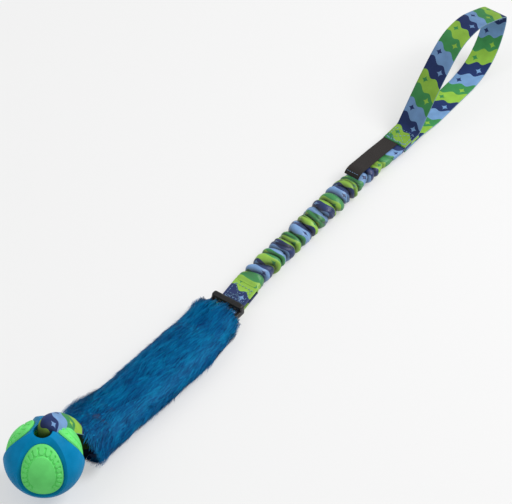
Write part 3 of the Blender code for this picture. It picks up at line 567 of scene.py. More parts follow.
def knit_material(name, shade, pitch_mm, bump_mm, roughness=0.85):
    """Knitted or woven polyester: rows of small loops, matt, with painted shade between the loops and painted
    light on each row's crown.
    """
    material, tree, shader = new_material(name, Roughness=roughness, Sheen_Weight=0.2,
                                          Specular_IOR_Level=0.25)
    place = add(tree, "TexCoord", (), "Object")
    waves = [add(tree, "TexWave", {"Vector": place, "Scale": RIDGES / (pitch_mm * MM), "Distortion": uneven,
                                   "Detail": 1.0}, "Fac", bands_direction=axis)
             for axis, uneven in (("X", 0.6), ("Y", 0.4))]
    loops = add(tree, "Math", waves, operation="MULTIPLY")
    # painted shade between the loops and painted light on their crowns
    add(tree, "ValToRGB", (loops,), to=shader["Base Color"],
        stops=[(0.0, tint(shade, 0.6)), (1.0, tint(shade, 1.15))])
    add(tree, "Bump", {"Height": loops, "Strength": 0.6, "Distance": bump_mm * MM}, to=shader["Normal"])
    return material


def thread_material(colours):
    """Bonded polyester thread, twisted: fine diagonal ridges painted as shade in its colour, and a low gleam.
    """
    material, tree, shader = new_material("bonded_thread", Roughness=0.45, Specular_IOR_Level=0.4)
    painted_twist_shade = add(tree, "TexWave", {"Vector": add(tree, "TexCoord", (), "Object"),
                                  "Scale": RIDGES / (0.35 * MM)}, "Fac", bands_direction="DIAGONAL")
    # painted shade: darker in the grooves of the twist
    add(tree, "ValToRGB", (painted_twist_shade,), to=shader["Base Color"],
        stops=[(0.0, tint(colours.thread_blue, 0.6)), (1.0, colours.thread_blue)])
    return material


def acetal_material(colours):
    """Black acetal, injection moulded: satin, with faint flow marks."""
    material, tree, shader = new_material("black_acetal", Roughness=0.38, IOR=1.48, Specular_IOR_Level=0.5)
    place = add(tree, "TexCoord", (), "Object")
    flow = add(tree, "TexNoise", {"Vector": place, "Scale": 1 / (2.2 * MM), "Detail": 5.0}, "Fac")
    add(tree, "ValToRGB", (flow,), to=shader["Base Color"],
        stops=[(0.3, tint(colours.black_acetal, 0.7)), (0.75, tint(colours.black_acetal, 1.7))])
    add(tree, "MapRange", (flow, 0.3, 0.7, 0.3, 0.5), to=shader["Roughness"])
    fine = add(tree, "TexNoise", {"Vector": place, "Scale": 1 / (0.3 * MM), "Detail": 2.0}, "Fac")
    add(tree, "Bump", {"Height": fine, "Strength": 0.2, "Distance": 0.04 * MM}, to=shader["Normal"])
    return material


MADE = {}


def materials():
    """All the toy's materials, made once."""
    colours = bpy.context.scene.tug_toy_colours
    if not MADE:
        MADE.update(
            shell=rubber_material("moulded_rubber_blue", colours.shell_blue, 0.46),
            pads=rubber_material("moulded_rubber_green", colours.pad_green, 0.42),
            webbing=print_material("sublimation_printed_webbing", colours, -0.42),
            ruffles=print_material("sublimation_printed_cover", colours, -0.2, reverse=True, edge=False,
                                   gloss=0.4, shine=0.55),
            hair=hair_material(colours),
            backing=knit_material("knitted_fur_backing", colours.fur_dark, 1.1, 0.2),
            acetal=acetal_material(colours),
            label=knit_material("woven_damask_label", colours.charcoal, 0.6, 0.08, 0.7),
            elastic=knit_material("braided_elastic", colours.elastic_white, 1.0, 0.25),
            thread=thread_material(colours),
        )
    return MADE


# The ball


HOLLOW_RADIUS = 30 * MM
CORE_RADIUS = 29.6 * MM
PAD_AZIMUTH, PAD_TILT = 216.0, radians(69.5)  # of the first pad's middle, round and down from the top
PAD_SQUARENESS = 2.2
PAD_TAPER = 0.12  # how much wider an egg-shaped pad is below its middle, and narrower above
MOUTH_RADIUS = 9.4 * MM  # of the channel's mouth, where its roll meets the ball


def pad_axes(index):
    """A pad's outward direction, its sideways direction and its upward one."""
    azimuth = radians(PAD_AZIMUTH + 120 * index)
    out = np.array([sin(PAD_TILT) * cos(azimuth), sin(PAD_TILT) * sin(azimuth), cos(PAD_TILT)])
    side = np.cross([0, 0, 1.0], out)
    side /= np.linalg.norm(side)
    return out, side, np.cross(out, side)


def on_ball(index, share, angle, radius, sizes, lift=0.0):
    """A point of a pad's egg outline, scaled by share and lifted, at a radius from the ball's centre."""
    out, side, up = pad_axes(index)
    scale = radius / sizes.pad_radius
    across, rise = superellipse(angle, sizes.pad_half_width * share, sizes.pad_half_height * share,
                                PAD_SQUARENESS)
    x = across * (1.0 - PAD_TAPER * np.sin(angle)) * scale
    y = (rise + lift) * scale
    depth = np.sqrt(np.maximum(radius ** 2 - x ** 2 - y ** 2, 0))
    point = out[:, None] * depth + side[:, None] * x + up[:, None] * y
    return point[0], point[1], point[2] + BALL.z


def window_cutter(index, sizes):
    """Egg-shaped cutter with a wide bevel over the pad and a narrow one at its sides and below. Its rows are
    the share of the pad's outline, the radius and the lift, both in millimetres."""
    fall = sizes.ball_radius - 0.3 * MM
    rows = np.array([(0.0, 27.5, 0.0), (0.6, 27.5, 0.0), (1.012, 27.5, 0.0), (1.012, 29.0, 0.0),
                     (1.012, 31.4, 0.0), (1.02, 31.9, 0.15), (1.085, fall / MM, 1.75), (1.10, 35.3, 2.05),
                     (1.10, 37.0, 2.05), (0.6, 37.0, 0.0), (0.0, 37.0, 0.0)])

    def place(s, t):
        share, radius, lift = row_at(rows, s).T
        return on_ball(index, share, 2 * pi * t, radius * MM, sizes, lift * MM)

    return skin(f"window_{index}", len(rows) - 1, 112, place)


def channel_cutter(sizes):
    """The strap's channel with rolled mouths, closed at both ends."""
    lip = sqrt(sizes.ball_radius ** 2 - MOUTH_RADIUS ** 2)
    inner = sizes.channel_radius
    upper = [(0.0, 39 * MM), (14 * MM, 39 * MM)]
    upper += [(inner + 2.6 * MM * (1 - cos(a)), lip - 3.4 * MM + 4.0 * MM * sin(a))
              for a in np.radians(np.linspace(84, 0, 9))]
    profile = np.array(upper + [(r, -z) for r, z in upper[::-1]])

    def place(s, t):
        r, z = row_at(profile, s).T
        return r * np.cos(2 * pi * t), r * np.sin(2 * pi * t), z + BALL.z

    return skin("channel", len(profile) - 1, 64, place)


def ball_sphere(name, radius, segments, rings):
    """A sphere round the ball's centre."""
    deselect()
    bpy.ops.mesh.primitive_uv_sphere_add(segments=segments, ring_count=rings, radius=radius, location=BALL)
    obj = bpy.context.object
    obj.name = obj.data.name = name
    return settle(obj)


def pad_top(index, sizes):
    """One green pad: a smooth raised middle, open below, and a horseshoe of moulded teeth round it."""
    teeth = sizes.pad_teeth
    shares = np.concatenate([np.linspace(0, 0.5, 6), np.linspace(0.54, 0.60, 4), np.linspace(0.612, 0.96, 34),
                             [0.97, 0.98, 0.99, 1.0, 1.0, 1.0, 0.6, 0.0]])
    walls = np.concatenate([np.zeros(len(shares) - 4), [-1.4, -2.6, -2.6, -2.6]]) * MM

    def place(s, t):
        # share runs from the pad's middle to its border: the smooth middle ends at 0.63, the teeth's tips are
        # at 0.68 and the rim that they stand on starts at 0.9; height is in millimetres
        share, wall, angle = row_at(shares, s), row_at(walls, s), 2 * pi * t
        horseshoe = step(-0.90, -0.80, np.sin(angle))
        dome = 1 - step(0.615, 0.645, share) * horseshoe
        closer = 0.28 * np.sin(4 * pi * t) / (4 * pi)  # the teeth stand closer together at the pad's sides
        turn = np.abs(((t + closer) * teeth + 0.5) % 1.0 - 0.5)
        gap = 0.5 - 0.39 * np.sqrt(np.clip((share - 0.675) / 0.075, 0, 1))
        gap = gap + 0.06 * step(0.80, 0.86, share)
        tooth = step(gap - 0.035, gap + 0.035, turn) * step(0.672, 0.69, share)
        tooth = np.maximum(tooth, step(0.885, 0.91, share)) * horseshoe
        height = -0.35 + 0.95 * dome + 0.95 * tooth + 0.5 * (1 - (share / 0.62) ** 2) * (share < 0.62)
        height = height * (1 - 0.55 * step(0.95, 1.0, share)) - 0.6 * step(0.95, 1.0, share)
        radius = sizes.pad_radius + np.where(wall < 0, wall, height * MM)
        return on_ball(index, share, angle, radius, sizes)

    return skin(f"pad_{index}", len(shares) - 1, teeth * 15, place, smooth=60)


class TUG_OT_ball(bpy.types.Operator):
    """Moulded ball: a blue shell with three windows, a green core that shows in them, and the channel"""
    bl_idname = "tug_toy.ball"
    bl_label = "Ball"

    def execute(self, context):
        sizes = context.scene.tug_toy_sizes
        shell = ball_sphere("ball_shell_moulded", sizes.ball_radius, 144, 72)
        combine(shell, ball_sphere("hollow", HOLLOW_RADIUS, 64, 32), "DIFFERENCE")
        for index in range(3):
            combine(shell, window_cutter(index, sizes), "DIFFERENCE")
        combine(shell, channel_cutter(sizes), "DIFFERENCE")
        smooth_up_to(shell, 22)
        core = ball_sphere("ball_core_moulded", CORE_RADIUS, 64, 32)
        combine(core, channel_cutter(sizes), "DIFFERENCE")
        smooth_up_to(core, 38)
        core = join([core] + [pad_top(index, sizes) for index in range(3)], "ball_core_moulded")
        dress(shell, materials()["shell"], "ball", "ball_rubber_blue", "ball_shell")
        dress(core, materials()["pads"], "ball", "ball_rubber_green", "ball_core")
        return {"FINISHED"}


# Straps


def bend_at_mouth(piece):
    """Put a piece's place, turn and size into its mesh."""
    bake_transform(piece)


def ball_route():
    """The ball strap's line as webbing() takes it, from the upper lap over and through the ball and back:
    x and z in millimetres, share of curl, slope across and how open to the light, painted as shade that
    darkens the strap inside the ball and along its lower run."""
    start, end, lap = LAP_X / MM, LAP_X / MM + 20, 3.05
    strap, ball, swing, mouth = STRAP_Z / MM, BALL.z / MM, SWING_X / MM, MOUTH_X / MM
    rows = [(end, strap + lap, 0.0, 0, 1), (start + 10, strap + lap, 0.0, 0, 1),
            (start - 2, strap + lap + 0.3, 0.0, 0, 1), (swing + 5, strap + 4.4, 0.02, 0.03, 1),
            (swing - 2.5, strap + 7.6, 0.05, 0.12, 1), (swing - 9, strap + 14.0, 0.12, 0.22, 1),
            (48.0, 36.4, 0.20, 0.28, 1), (40.5, 47.0, 0.30, 0.32, 1), (31.5, 58.0, 0.42, 0.34, 1),
            (23, 66.0, 0.52, 0.32, 1), (15, 71.6, 0.62, 0.26, 1), (8.5, 74.6, 0.76, 0.14, 0.95),
            (3.4, 74.9, 0.9, 0.04, 0.55), (0.7, ball + 34.2, 0.97, 0, 0.15), (0, ball + 31, 1.0, 0, 0.03),
            (0, ball + 12, 1.0, 0, 0.05), (0, ball - 12, 1.0, 0, 0.05), (0, 8.4, 0.9, 0, 0.3),
            (1.6, 3.5, 0.35, 0, 0.6), (6, 1.8, 0.12, 0, 0.6), (12, 1.7, 0.08, 0, 0.5),
            (20, 2.2, 0.05, 0, 0.3), (mouth - 14, 4.5, 0.03, 0, 0.12), (mouth - 3, strap - 5.6, 0.0, 0, 0.04),
            (mouth + 8, strap - 4, 0.0, 0, 0.04), (swing, strap - 3.4, 0.0, 0, 0.04),
            (start - 2, strap - lap, 0.0, 0, 0.1), (start + 10, strap - lap, 0.0, 0, 0.1),
            (end, strap - lap, 0.0, 0, 0.1)]
    return smooth_line(np.array(rows) * (MM, MM, 1, 1, 1), 10)


class TUG_OT_ball_strap(bpy.types.Operator):
    """Printed webbing loop, rolled where it passes through the ball"""
    bl_idname = "tug_toy.ball_strap"
    bl_label = "Ball Strap"

    def execute(self, context):
        sizes = context.scene.tug_toy_sizes
        strap = webbing("ball_strap_webbing", ball_route(), sizes.web_width, sizes.web_thick * 0.75,
                        print_start=136.2, turned=True, curl=(radians(235), 2.6 * MM))
        dress(strap, materials()["webbing"], None, "printed_webbing", "ball_strap")
        bend_at_mouth(strap)
        return {"FINISHED"}


class TUG_OT_core_strap(bpy.types.Operator):
    """Webbing inside the sleeve, folded round the buckle's lower bar, with its bar tack"""
    bl_idname = "tug_toy.core_strap"
    bl_label = "Core Strap"

    def execute(self, context):
        sizes = context.scene.tug_toy_sizes
        ply, wrap = 1.15 * MM, 2.9 * MM
        run = [(LAP_X, STRAP_Z, ply), (110 * MM, STRAP_Z, ply), (LOWER_BAR_X - 10.5 * MM, BAR_Z, ply),
               (LOWER_BAR_X - 4.2 * MM, BAR_Z, 2.0 * MM)]
        line = [(x, z + half) for x, z, half in run] + arc(LOWER_BAR_X, BAR_Z, wrap, 105, -105, 24)
        line += [(x, z - half) for x, z, half in run[::-1]]
        strap = webbing("core_strap_webbing", line, sizes.web_width, sizes.web_thick * 0.9, print_start=20.0)
        dress(strap, materials()["webbing"], "sleeve", "printed_webbing", "core_strap")
        top = STRAP_Z + 4.35 * MM
        rows = [[(LAP_X + 10 * MM + side * 1.1 * MM, y, top) for y in np.linspace(-10 * MM, 10 * MM, 5)]
                for side in (-1, 0, 1)]
        tack = stitches("bar_tack_stitches", rows, 1.6 * MM, spacing=1.1)
        dress(tack, materials()["thread"], "sleeve", "thread", "strap_bartack")
        return {"FINISHED"}


# The fur sleeve


SLEEVE_SQUARENESS = 2.3
SLEEVE = [  # x, half width, half height, middle height and lean to -Y of the knitted skin under the pile
    (44.0, 24.5, 17.6, 20.0, 0.8), (60.0, 24.6, 15.4, 18.5, 1.6), (76.0, 24.4, 12.8, 16.2, 2.2),
    (99.0, 24.2, 10.9, 14.3, 2.6), (154.0, 24.4, 9.9, 13.2, 4.9), (205.0, 24.4, 9.2, 12.2, 5.9),
    (224.0, 22.6, 7.6, 10.3, 4.6), (233.0, 18.4, 6.0, 8.6, 2.4), (240.5, 15.0, 4.2, 7.7, 0.4),
]


MOUTH_REACH, NECK_REACH = 40 * MM, 20 * MM  # how far from each end the pile lies in another way
BULGE_REACH = 44 * MM  # how far from the mouth the pile stands out on the +Y side
HAIR_ROWS = 4  # places along a hair


def mouth_at(angle):
    """Where the sleeve's skin starts, further back on the +Y side."""
    return MOUTH_X + 3 * MM + 21 * MM * np.maximum(np.cos(angle), 0) ** 2


def sleeve_skin(x, angle, grow=0.0):
    """A point of the sleeve's skin, in toy coordinates, and its outward direction there."""
    half_w, half_h, middle, lean = (value * MM for value in table_at(SLEEVE, x / MM))
    y, z = superellipse(angle, half_w + grow, half_h + grow, SLEEVE_SQUARENESS)
    out = np.stack([np.zeros_like(y), y / half_w ** 2, z / half_h ** 2], axis=-1)
    return y - lean, z + middle, out / np.linalg.norm(out, axis=-1)[..., None]


def pile(name, count, per_clump, hair_length, hair_width, seed, lift):
    """Locks of hair on the sleeve, in clumps that draw together at their tips and lie towards the ball. Those
    at the neck stand out and lap over the buckle's lower bar."""
    rng = np.random.default_rng(seed)
    total = count * per_clump

    def shared(low, high):
        """A random value for each clump, the same for all its hairs."""
        return np.repeat(rng.uniform(low, high, count), per_clump)

    # where each hair stands
    clump_angle = shared(0, 2 * pi)
    clump_x = mouth_at(clump_angle) + (NECK_X - mouth_at(clump_angle)) * shared(0, 1)
    angle = clump_angle + rng.normal(0, 0.07, total)
    x = np.clip(clump_x + rng.normal(0, 1.9 * MM, total), mouth_at(angle), NECK_X)
    y, z, normal = sleeve_skin(x, angle)
    across = np.stack([np.zeros(total), -normal[:, 2], normal[:, 1]], axis=1)
    # how it lies: mouth, neck and cleft run from 0 to 1 at these places, and side from -1 to 1 at +Y
    around = np.degrees(angle) * 0.35
    mouth = 1 - step(mouth_at(angle), mouth_at(angle) + MOUTH_REACH, x)
    neck = step(NECK_X - NECK_REACH, NECK_X - 1 * MM, x)
    side = np.cos(angle)
    sweep = np.repeat(rng.normal(0, 0.10, count), per_clump) + rng.normal(0, 0.05, total)
    sweep += 0.14 * ripple(x / MM, around, seed + 1, 45) + 0.5 * mouth * (0.25 - 0.6 * side)
    size = hair_length * rng.uniform(0.75, 1.1, total) * shared(0.85, 1.1)
    size = size * (1 - (0.42 - 0.2 * np.sin(angle)) * mouth ** 2) * (1 - 0.3 * neck)
    cleft = step(0.35, 0.95, ripple(x / MM * 0.36, around, 77, 13)) * (1 - neck)
    rise = lift * rng.uniform(0.55, 1.2, total) * shared(0.75, 1.25) * (1 - 0.5 * cleft)
    bulge = np.sin(pi * np.clip((x - mouth_at(angle)) / BULGE_REACH, 0, 1)) * np.maximum(side, 0)
    rise = rise * (1 + 0.7 * mouth ** 2 + 1.7 * bulge)
    rise += neck * 4.4 * MM * (0.55 + 0.45 * np.abs(side)) * rng.uniform(0.6, 1.1, total)
    # its two edges from root to tip, never below the ground
    points = np.empty((total, HAIR_ROWS, 2, 3))
    for k in range(HAIR_ROWS):
        t = k / (HAIR_ROWS - 1)
        stood = neck * (1.25 - 0.45 * np.abs(side)) * sin(pi * min(t * 1.15, 1.0))
        forward = size * (0.1 * t * t - t + stood)
        lifted = rise * (1 - (1 - t) ** 2.2 - 0.35 * t ** 3 + neck * 0.6 * sin(pi * t))
        centre = np.stack([x + forward + (clump_x - x) * 0.5 * t, y, z], axis=1)
        centre += normal * lifted[:, None]
        centre += across * (size * sweep * t ** 1.5 + (clump_angle - angle) * 14 * MM * t ** 1.6)[:, None]
        centre[:, 2] = np.maximum(centre[:, 2], 0.25 * MM + 0.12 * MM * (seed % 3))
        width = hair_width * (1 - 0.25 * (1 - t) - 0.78 * max(t - 0.55, 0) / 0.45) * 0.5
        for j, edge in enumerate((-1, 1)):
            points[:, k, j] = centre + across * (edge * width)
    first = np.arange(total)[:, None, None] * HAIR_ROWS * 2
    quad = np.array([[0, 1, 3, 2]]) + np.arange(HAIR_ROWS - 1)[:, None] * 2
    obj = object_of(name, points.reshape(-1, 3), (first + quad[None]).reshape(-1, 4).tolist())
    # its tone and its length, kept as the UV map
    tones_and_painted_shade = 0.56 + 0.17 * np.repeat(rng.normal(0, 1, count), per_clump) + rng.normal(0, 0.19, total)
    # painted shade: hairs are painted darker in the clefts between clumps and at the sleeve's mouth
    tones_and_painted_shade += 0.16 * ripple(x / MM * 0.35, around, 79, 12) - 0.42 * cleft - 0.12 * mouth
    tones_and_painted_shade = np.repeat(np.clip(tones_and_painted_shade, 0.02, 0.98), quad.size)
    along = np.array([[k, k, k + 1, k + 1] for k in range(HAIR_ROWS - 1)]) / (HAIR_ROWS - 1)
    uv = np.stack([np.tile(along.ravel(), total), tones_and_painted_shade], axis=1)
    obj.data.uv_layers.new(name="hair").data.foreach_set("uv", uv.astype(np.float32).ravel())
    return obj


def sleeve_tube(name, from_mouth, to_mouth, grow_outer, grow_inner, count):
    """A closed tube that follows the sleeve's skin at two offsets, between two shares of its length."""
    shares = list(np.linspace(from_mouth, to_mouth, count))
    ring = np.array([(s, grow_outer) for s in shares] + [(s, grow_inner) for s in shares[::-1]]
                    + [(shares[0], grow_outer)])

    def place(s, t):
        share, grow = row_at(ring, s).T
        start = mouth_at(2 * pi * t)
        x = start + (NECK_X - start) * share
        y, z, _ = sleeve_skin(x, 2 * pi * t, grow)
        return x, y, z

    return skin(name, len(ring) - 1, 72, place)


class TUG_OT_fur_sleeve(bpy.types.Operator):
    """Faux-fur sleeve: knitted backing with its hem and neck binding, and the pile in three layers"""
    bl_idname = "tug_toy.fur_sleeve"
    bl_label = "Fur Sleeve"

    def execute(self, context):
        sizes = context.scene.tug_toy_sizes
        made = materials()
        clumps, size, width = sizes.hair_clumps, sizes.hair_length, sizes.hair_width
        backing = sleeve_tube("fur_backing", 0.0, 1.0, 0.0, -1.0 * MM, 48)
        hem = sleeve_tube("fur_hem_tape", 0.003, 0.045, -1.2 * MM, -2.2 * MM, 6)
        binding = sleeve_tube("neck_binding_tape", 0.972, 0.993, 1.2 * MM, 0.2 * MM, 6)
        under = pile("fur_undercoat", clumps, 5, size * 0.6, width * 2.6, 3, 1.8 * MM)
        guard = pile("fur_guard_hairs", clumps, 10, size, width, 8, 2.8 * MM)
        top = pile("fur_long_hairs", clumps, 9, size * 1.15, width * 0.8, 21, 3.4 * MM)
        dress(backing, made["backing"], None, "backing", "fur_sleeve")
        dress(hem, made["backing"], None, "backing", "fur_hem")
        dress(binding, made["backing"], "sleeve", "thread", "neck_binding")
        for coat in (under, guard, top):
            dress(coat, made["hair"], None, "faux_fur", "fur_sleeve")
        for piece in (backing, hem, under, guard, top):
            bend_at_mouth(piece)
        return {"FINISHED"}


# The buckle


def block(name, centre, size, bevel, segments):
    """A rounded block, at its place in toy coordinates."""
    deselect()
    bpy.ops.mesh.primitive_cube_add(size=1.0, location=(centre[0] + BALL.x, centre[1], centre[2]), scale=size)
    obj = settle(bpy.context.object)
    obj.name = name
    return modify(obj, "BEVEL", width=bevel, segments=segments, limit_method="ANGLE")


def rod(name, x, z, radius, half_length):
    """A round bar along Y with a small chamfer at its ends."""
    deselect()
    bpy.ops.mesh.primitive_cylinder_add(vertices=40, radius=radius, depth=2 * half_length,
                                        location=(x + BALL.x, 0, z), rotation=(pi / 2, 0, 0))
    obj = settle(bpy.context.object)
    obj.name = name
    return modify(obj, "BEVEL", width=0.15 * MM, segments=2, limit_method="ANGLE")


class TUG_OT_buckle(bpy.types.Operator):
    """Three-bar slide: two rails, two round bars and a thick front bar with a row of teeth"""
    bl_idname = "tug_toy.buckle"
    bl_label = "Buckle"

    def execute(self, context):
        rail_y, rail_w, rail_h = 15.0 * MM, 4.0 * MM, 5.2 * MM
        bar_radius = 1.8 * MM
        front_z = BAR_Z + 4.7 * MM
        rail_end = FRONT_BAR_X + 2.3 * MM
        rail_start = LOWER_BAR_X - rail_h / 2
        body = block("slide_front", (FRONT_BAR_X, 0, front_z), (6.6 * MM, 33.6 * MM, 6.2 * MM), 2.3 * MM, 6)
        for side in (-1, 1):
            rail = block("rail", ((rail_start + rail_end) / 2, side * rail_y, BAR_Z),
                         (rail_end - rail_start, rail_w, rail_h), 1.3 * MM, 4)
            combine(body, rail, "UNION")
            post = block("post", (FRONT_BAR_X - 0.2 * MM, side * rail_y, BAR_Z + 1.4 * MM),
                         (5.4 * MM, 3.8 * MM, 6.6 * MM), 1.2 * MM, 4)
            combine(body, post, "UNION")
        for name, x in (("lower_bar", LOWER_BAR_X), ("middle_bar", MIDDLE_BAR_X)):
            combine(body, rod(name, x, BAR_Z, bar_radius, rail_y), "UNION")
        for k in range(6):
            tooth = block("tooth", (FRONT_BAR_X - 3.4 * MM, (k - 2.5) * 4.2 * MM, front_z - 0.9 * MM),
                          (2.6 * MM, 2.4 * MM, 2.6 * MM), 0.6 * MM, 3)
            combine(body, tooth, "UNION")
        # one mesh without seams, its inner corners rounded as moulded ones are
        modify(body, "REMESH", mode="VOXEL", voxel_size=0.34 * MM, adaptivity=0.0)
        modify(body, "SMOOTH", factor=0.5, iterations=3)
        bpy.ops.object.shade_smooth()
        body.name = body.data.name = "slide_buckle_moulded"
        dress(body, materials()["acetal"], "buckle_body", "buckle_plastic", "buckle")
        return {"FINISHED"}


# The bungee


def axis_height(x):
    """Height of the bungee's middle line."""
    return np.interp(x, [LEAD_X, TAB_END_X, TAB_END_X + 12 * MM, FLAT_X, FLAT_X + 20 * MM],
                     [BAR_Z - 3.1 * MM, BUNGEE_Z + 0.4 * MM, BUNGEE_Z, BUNGEE_Z, SEAM_Z])


COVER = [  # x from the cover's start, half width, half height, share of ruffles, roundness
    (-2.0, 12.4, 2.9, 0.00, 6.0), (0.0, 12.4, 3.0, 0.00, 5.0), (4.5, 12.3, 5.0, 0.45, 3.2),
    (11.0, 12.1, 8.8, 1.00, 2.3), (162.0, 12.1, 8.8, 1.00, 2.3), (169.0, 10.6, 5.4, 0.90, 2.4),
    (176.0, 11.2, 6.6, 0.85, 2.5), (186.0, 11.2, 6.4, 0.70, 2.6),
    (199.0, 11.0, 5.0, 0.50, 3.0), (212.0, 11.2, 4.2, 0.25, 3.6), (221.0, 11.9, 2.8, 0.08, 4.5),
    (228.0, 12.45, 1.8, 0.0, 6.0), (258.0, 12.4, 1.5, 0.0, 6.0),
]


COVER_STEP, COVER_COLUMNS = 0.42, 84  # mm between rows of points, and points in a row


def cover_point(x, angle, sizes):
    """A point of the gathered cover, across and up in millimetres, and how open to the light it is there,
    painted as shade in the creases: rolls of cloth that lean one way and the other, with small creases."""
    from_start = x / MM - COVER_X / MM
    half_w, half_h, share, power = table_at(COVER, from_start)
    pitch = 164.0 / sizes.ruffles
    lean = 0.17 * np.sin(angle + 0.055 * from_start) + 0.10 * np.sin(2 * angle - 0.037 * from_start + 1.0)
    lean = lean + 0.25 * ripple(from_start, np.sin(angle) * 9.0, 5, 34)
    lean = lean + 0.22 * ripple(from_start, np.zeros_like(from_start), 44, 30)
    turn = from_start / pitch + lean
    # one roll of cloth a turn, and in places a smaller crease beside it
    roll = np.abs(np.sin(pi * turn)) ** 0.5
    branch = step(0.1, 0.7, ripple(from_start * 0.6, np.degrees(angle) * 0.07, 31, 17))
    second = np.abs(np.sin(pi * (turn + 0.48 + 0.12 * np.sin(angle * 2 + 0.09 * from_start)))) ** 0.45
    depth = sizes.ruffle_depth / MM * share
    crumple = 0.28 * ripple(from_start, np.degrees(angle) * 0.12, 9, 6.5) * share
    uneven = 0.85 * ripple(from_start, np.degrees(angle) * 0.05, 12, 15) * share
    out = depth * (roll - 1.0) + 0.42 * depth * branch * (second - 1.0) + crumple + uneven
    # painted shade: the cloth is painted darker where it turns in between the rolls
    painted_crease_shade = np.minimum(roll, 1 - (1 - second) * 0.8 * branch) * share + 1 - share
    y, z = superellipse(angle, half_w + out, np.maximum(half_h + out * 0.95, 0.6), power)
    middle = axis_height(x) / MM
    return y + 1.3 * share, np.maximum(z + middle, 0.02), np.clip(painted_crease_shade, 0, 1)


def cover_skin(name, start, end, sizes, closed_end=False):
    """The gathered cover's outer face between two stations."""
    rows = int((end - start) / MM / COVER_STEP)

    def place(s, t):
        x = start + (end - start) * s
        y, z, _ = cover_point(x, 2 * pi * t, sizes)
        if closed_end:
            pinch = s > 1 - 0.5 / rows
            z = np.where(pinch, axis_height(x) / MM, z)
        return x, y * MM, z * MM

    def cloth(s, t):
        x = start + (end - start) * s
        gathered = np.interp((x - COVER_X) / MM, [-50, 4, 172, 225, 300], [-50, 4, 318, 384, 459])
        round_it = (t * 2) % 1.0
        across = (np.where(t < 0.5, round_it, 1 - round_it) - 0.5) * 25.0
        # painted shade in the creases, kept as the second UV map
        return gathered + 9, across, cover_point(x, 2 * pi * t, sizes)[2] ** 2.1

    return skin(name, rows, COVER_COLUMNS, place, cloth, smooth=75)


def tab_line():
    """The tab's line: over the cover's start, under the front bar, round the middle bar and back."""
    leg, ceiling = 2.15 * MM, BAR_Z + 0.5 * MM
    upper = [(x, float(axis_height(x)) + leg) for x in (TAB_END_X + 1.0 * MM, LEAD_X + 8 * MM, LEAD_X)]
    upper += [(FRONT_BAR_X + 3.0 * MM, ceiling - 1.1 * MM), (FRONT_BAR_X, ceiling - 0.9 * MM),
              (FRONT_BAR_X - 3.6 * MM, ceiling)]
    wrap = arc(MIDDLE_BAR_X, BAR_Z, 2.9 * MM, 62, 275, 24)
    lower = [(FRONT_BAR_X, BAR_Z - 4.4 * MM)]
    lower += [(x, float(axis_height(x)) - leg) for x in (LEAD_X, TAB_END_X + 1.0 * MM)]
    return upper + wrap + lower


class TUG_OT_tab(bpy.types.Operator):
    """The cover's flat end, folded round the buckle's middle bar and sewn through"""
    bl_idname = "tug_toy.tab"
    bl_label = "Tab"

    def execute(self, context):
        sizes = context.scene.tug_toy_sizes
        tab = webbing("bungee_tab_webbing", tab_line(), sizes.web_width, sizes.web_thick * 0.9,
                      print_start=9.0, turned=True, step_length=0.8 * MM)
        dress(tab, materials()["ruffles"], "bungee", "printed_webbing", "bungee_tab")

        def height(x):
            """The tab's upper face."""
            return float(axis_height(x)) + 3.15 * MM

        start, end = FRONT_BAR_X + 5.5 * MM, TAB_END_X - 4 * MM
        box, *cross = box_and_cross(start, end, 9.3 * MM, height)
        turns = [start + 2.5 * MM + 4.6 * MM * (k % 2) for k in range(11)]
        zigzag = [(x, -8 * MM + 1.6 * MM * k, height(x)) for k, x in enumerate(turns)]
        rows = stitches("tab_stitches", [box, zigzag, *cross], sizes.stitch_length)
        dress(rows, materials()["thread"], "bungee", "thread", "tab_stitching")
        return {"FINISHED"}


class TUG_OT_bungee(bpy.types.Operator):
    """The gathered cover and the elastic inside it, with the tacks that hold the elastic"""
    bl_idname = "tug_toy.bungee"
    bl_label = "Bungee"

    def execute(self, context):
        sizes = context.scene.tug_toy_sizes
        made = materials()
        cover = cover_skin("ruched_cover", TAB_END_X, FLAT_X + 0.1 * MM, sizes)
        modify(cover, "SOLIDIFY", thickness=0.45 * MM, offset=-1.0)
        dress(cover, made["ruffles"], None, "printed_webbing", "bungee_cover")
        start, end = LEAD_X, FLAT_X + 46 * MM
        line = [(x, float(axis_height(x))) for x in np.linspace(start, end, 60)]
        elastic = webbing("braided_elastic_band", line, 14 * MM, 2.1 * MM, step_length=1.6 * MM)
        dress(elastic, made["elastic"], None, "elastic", "bungee_elastic")
        for piece in (cover, elastic):
            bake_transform(piece)
        for name, node, body, x, drop in (
                ("elastic_lower_stitches", "elastic_lower_tack", "bungee", start + 5.7 * MM, 3.4 * MM),
                ("elastic_upper_stitches", "elastic_upper_tack", "bungee_end", FLAT_X + 42 * MM, 2.6 * MM)):
            rows = [[(x + side, y, float(axis_height(x)) - drop) for y in np.linspace(-7 * MM, 7 * MM, 5)]
                    for side in (-0.8 * MM, 0.8 * MM)]
            tack = stitches(name, rows, 1.6 * MM, spacing=1.1)
            dress(tack, made["thread"], body, "thread", node)
        return {"FINISHED"}


def label_line():
    """The label's line over the cover's slope, from its loose lower end to where the hand loop is folded."""
    rows = [(-64.0, 13.4), (-62.2, 15.4), (-59.0, 16.8), (-54.0, 17.0), (-46.0, 16.0), (-36.0, 15.0),
            (-28.0, 14.2), (-20.0, 13.2), (-12.0, 12.1), (-5.0, 11.2), (-0.3, 10.8)]
    return [(FOLD_X + x, z) for x, z in smooth_line(np.array(rows) * MM, 5)]


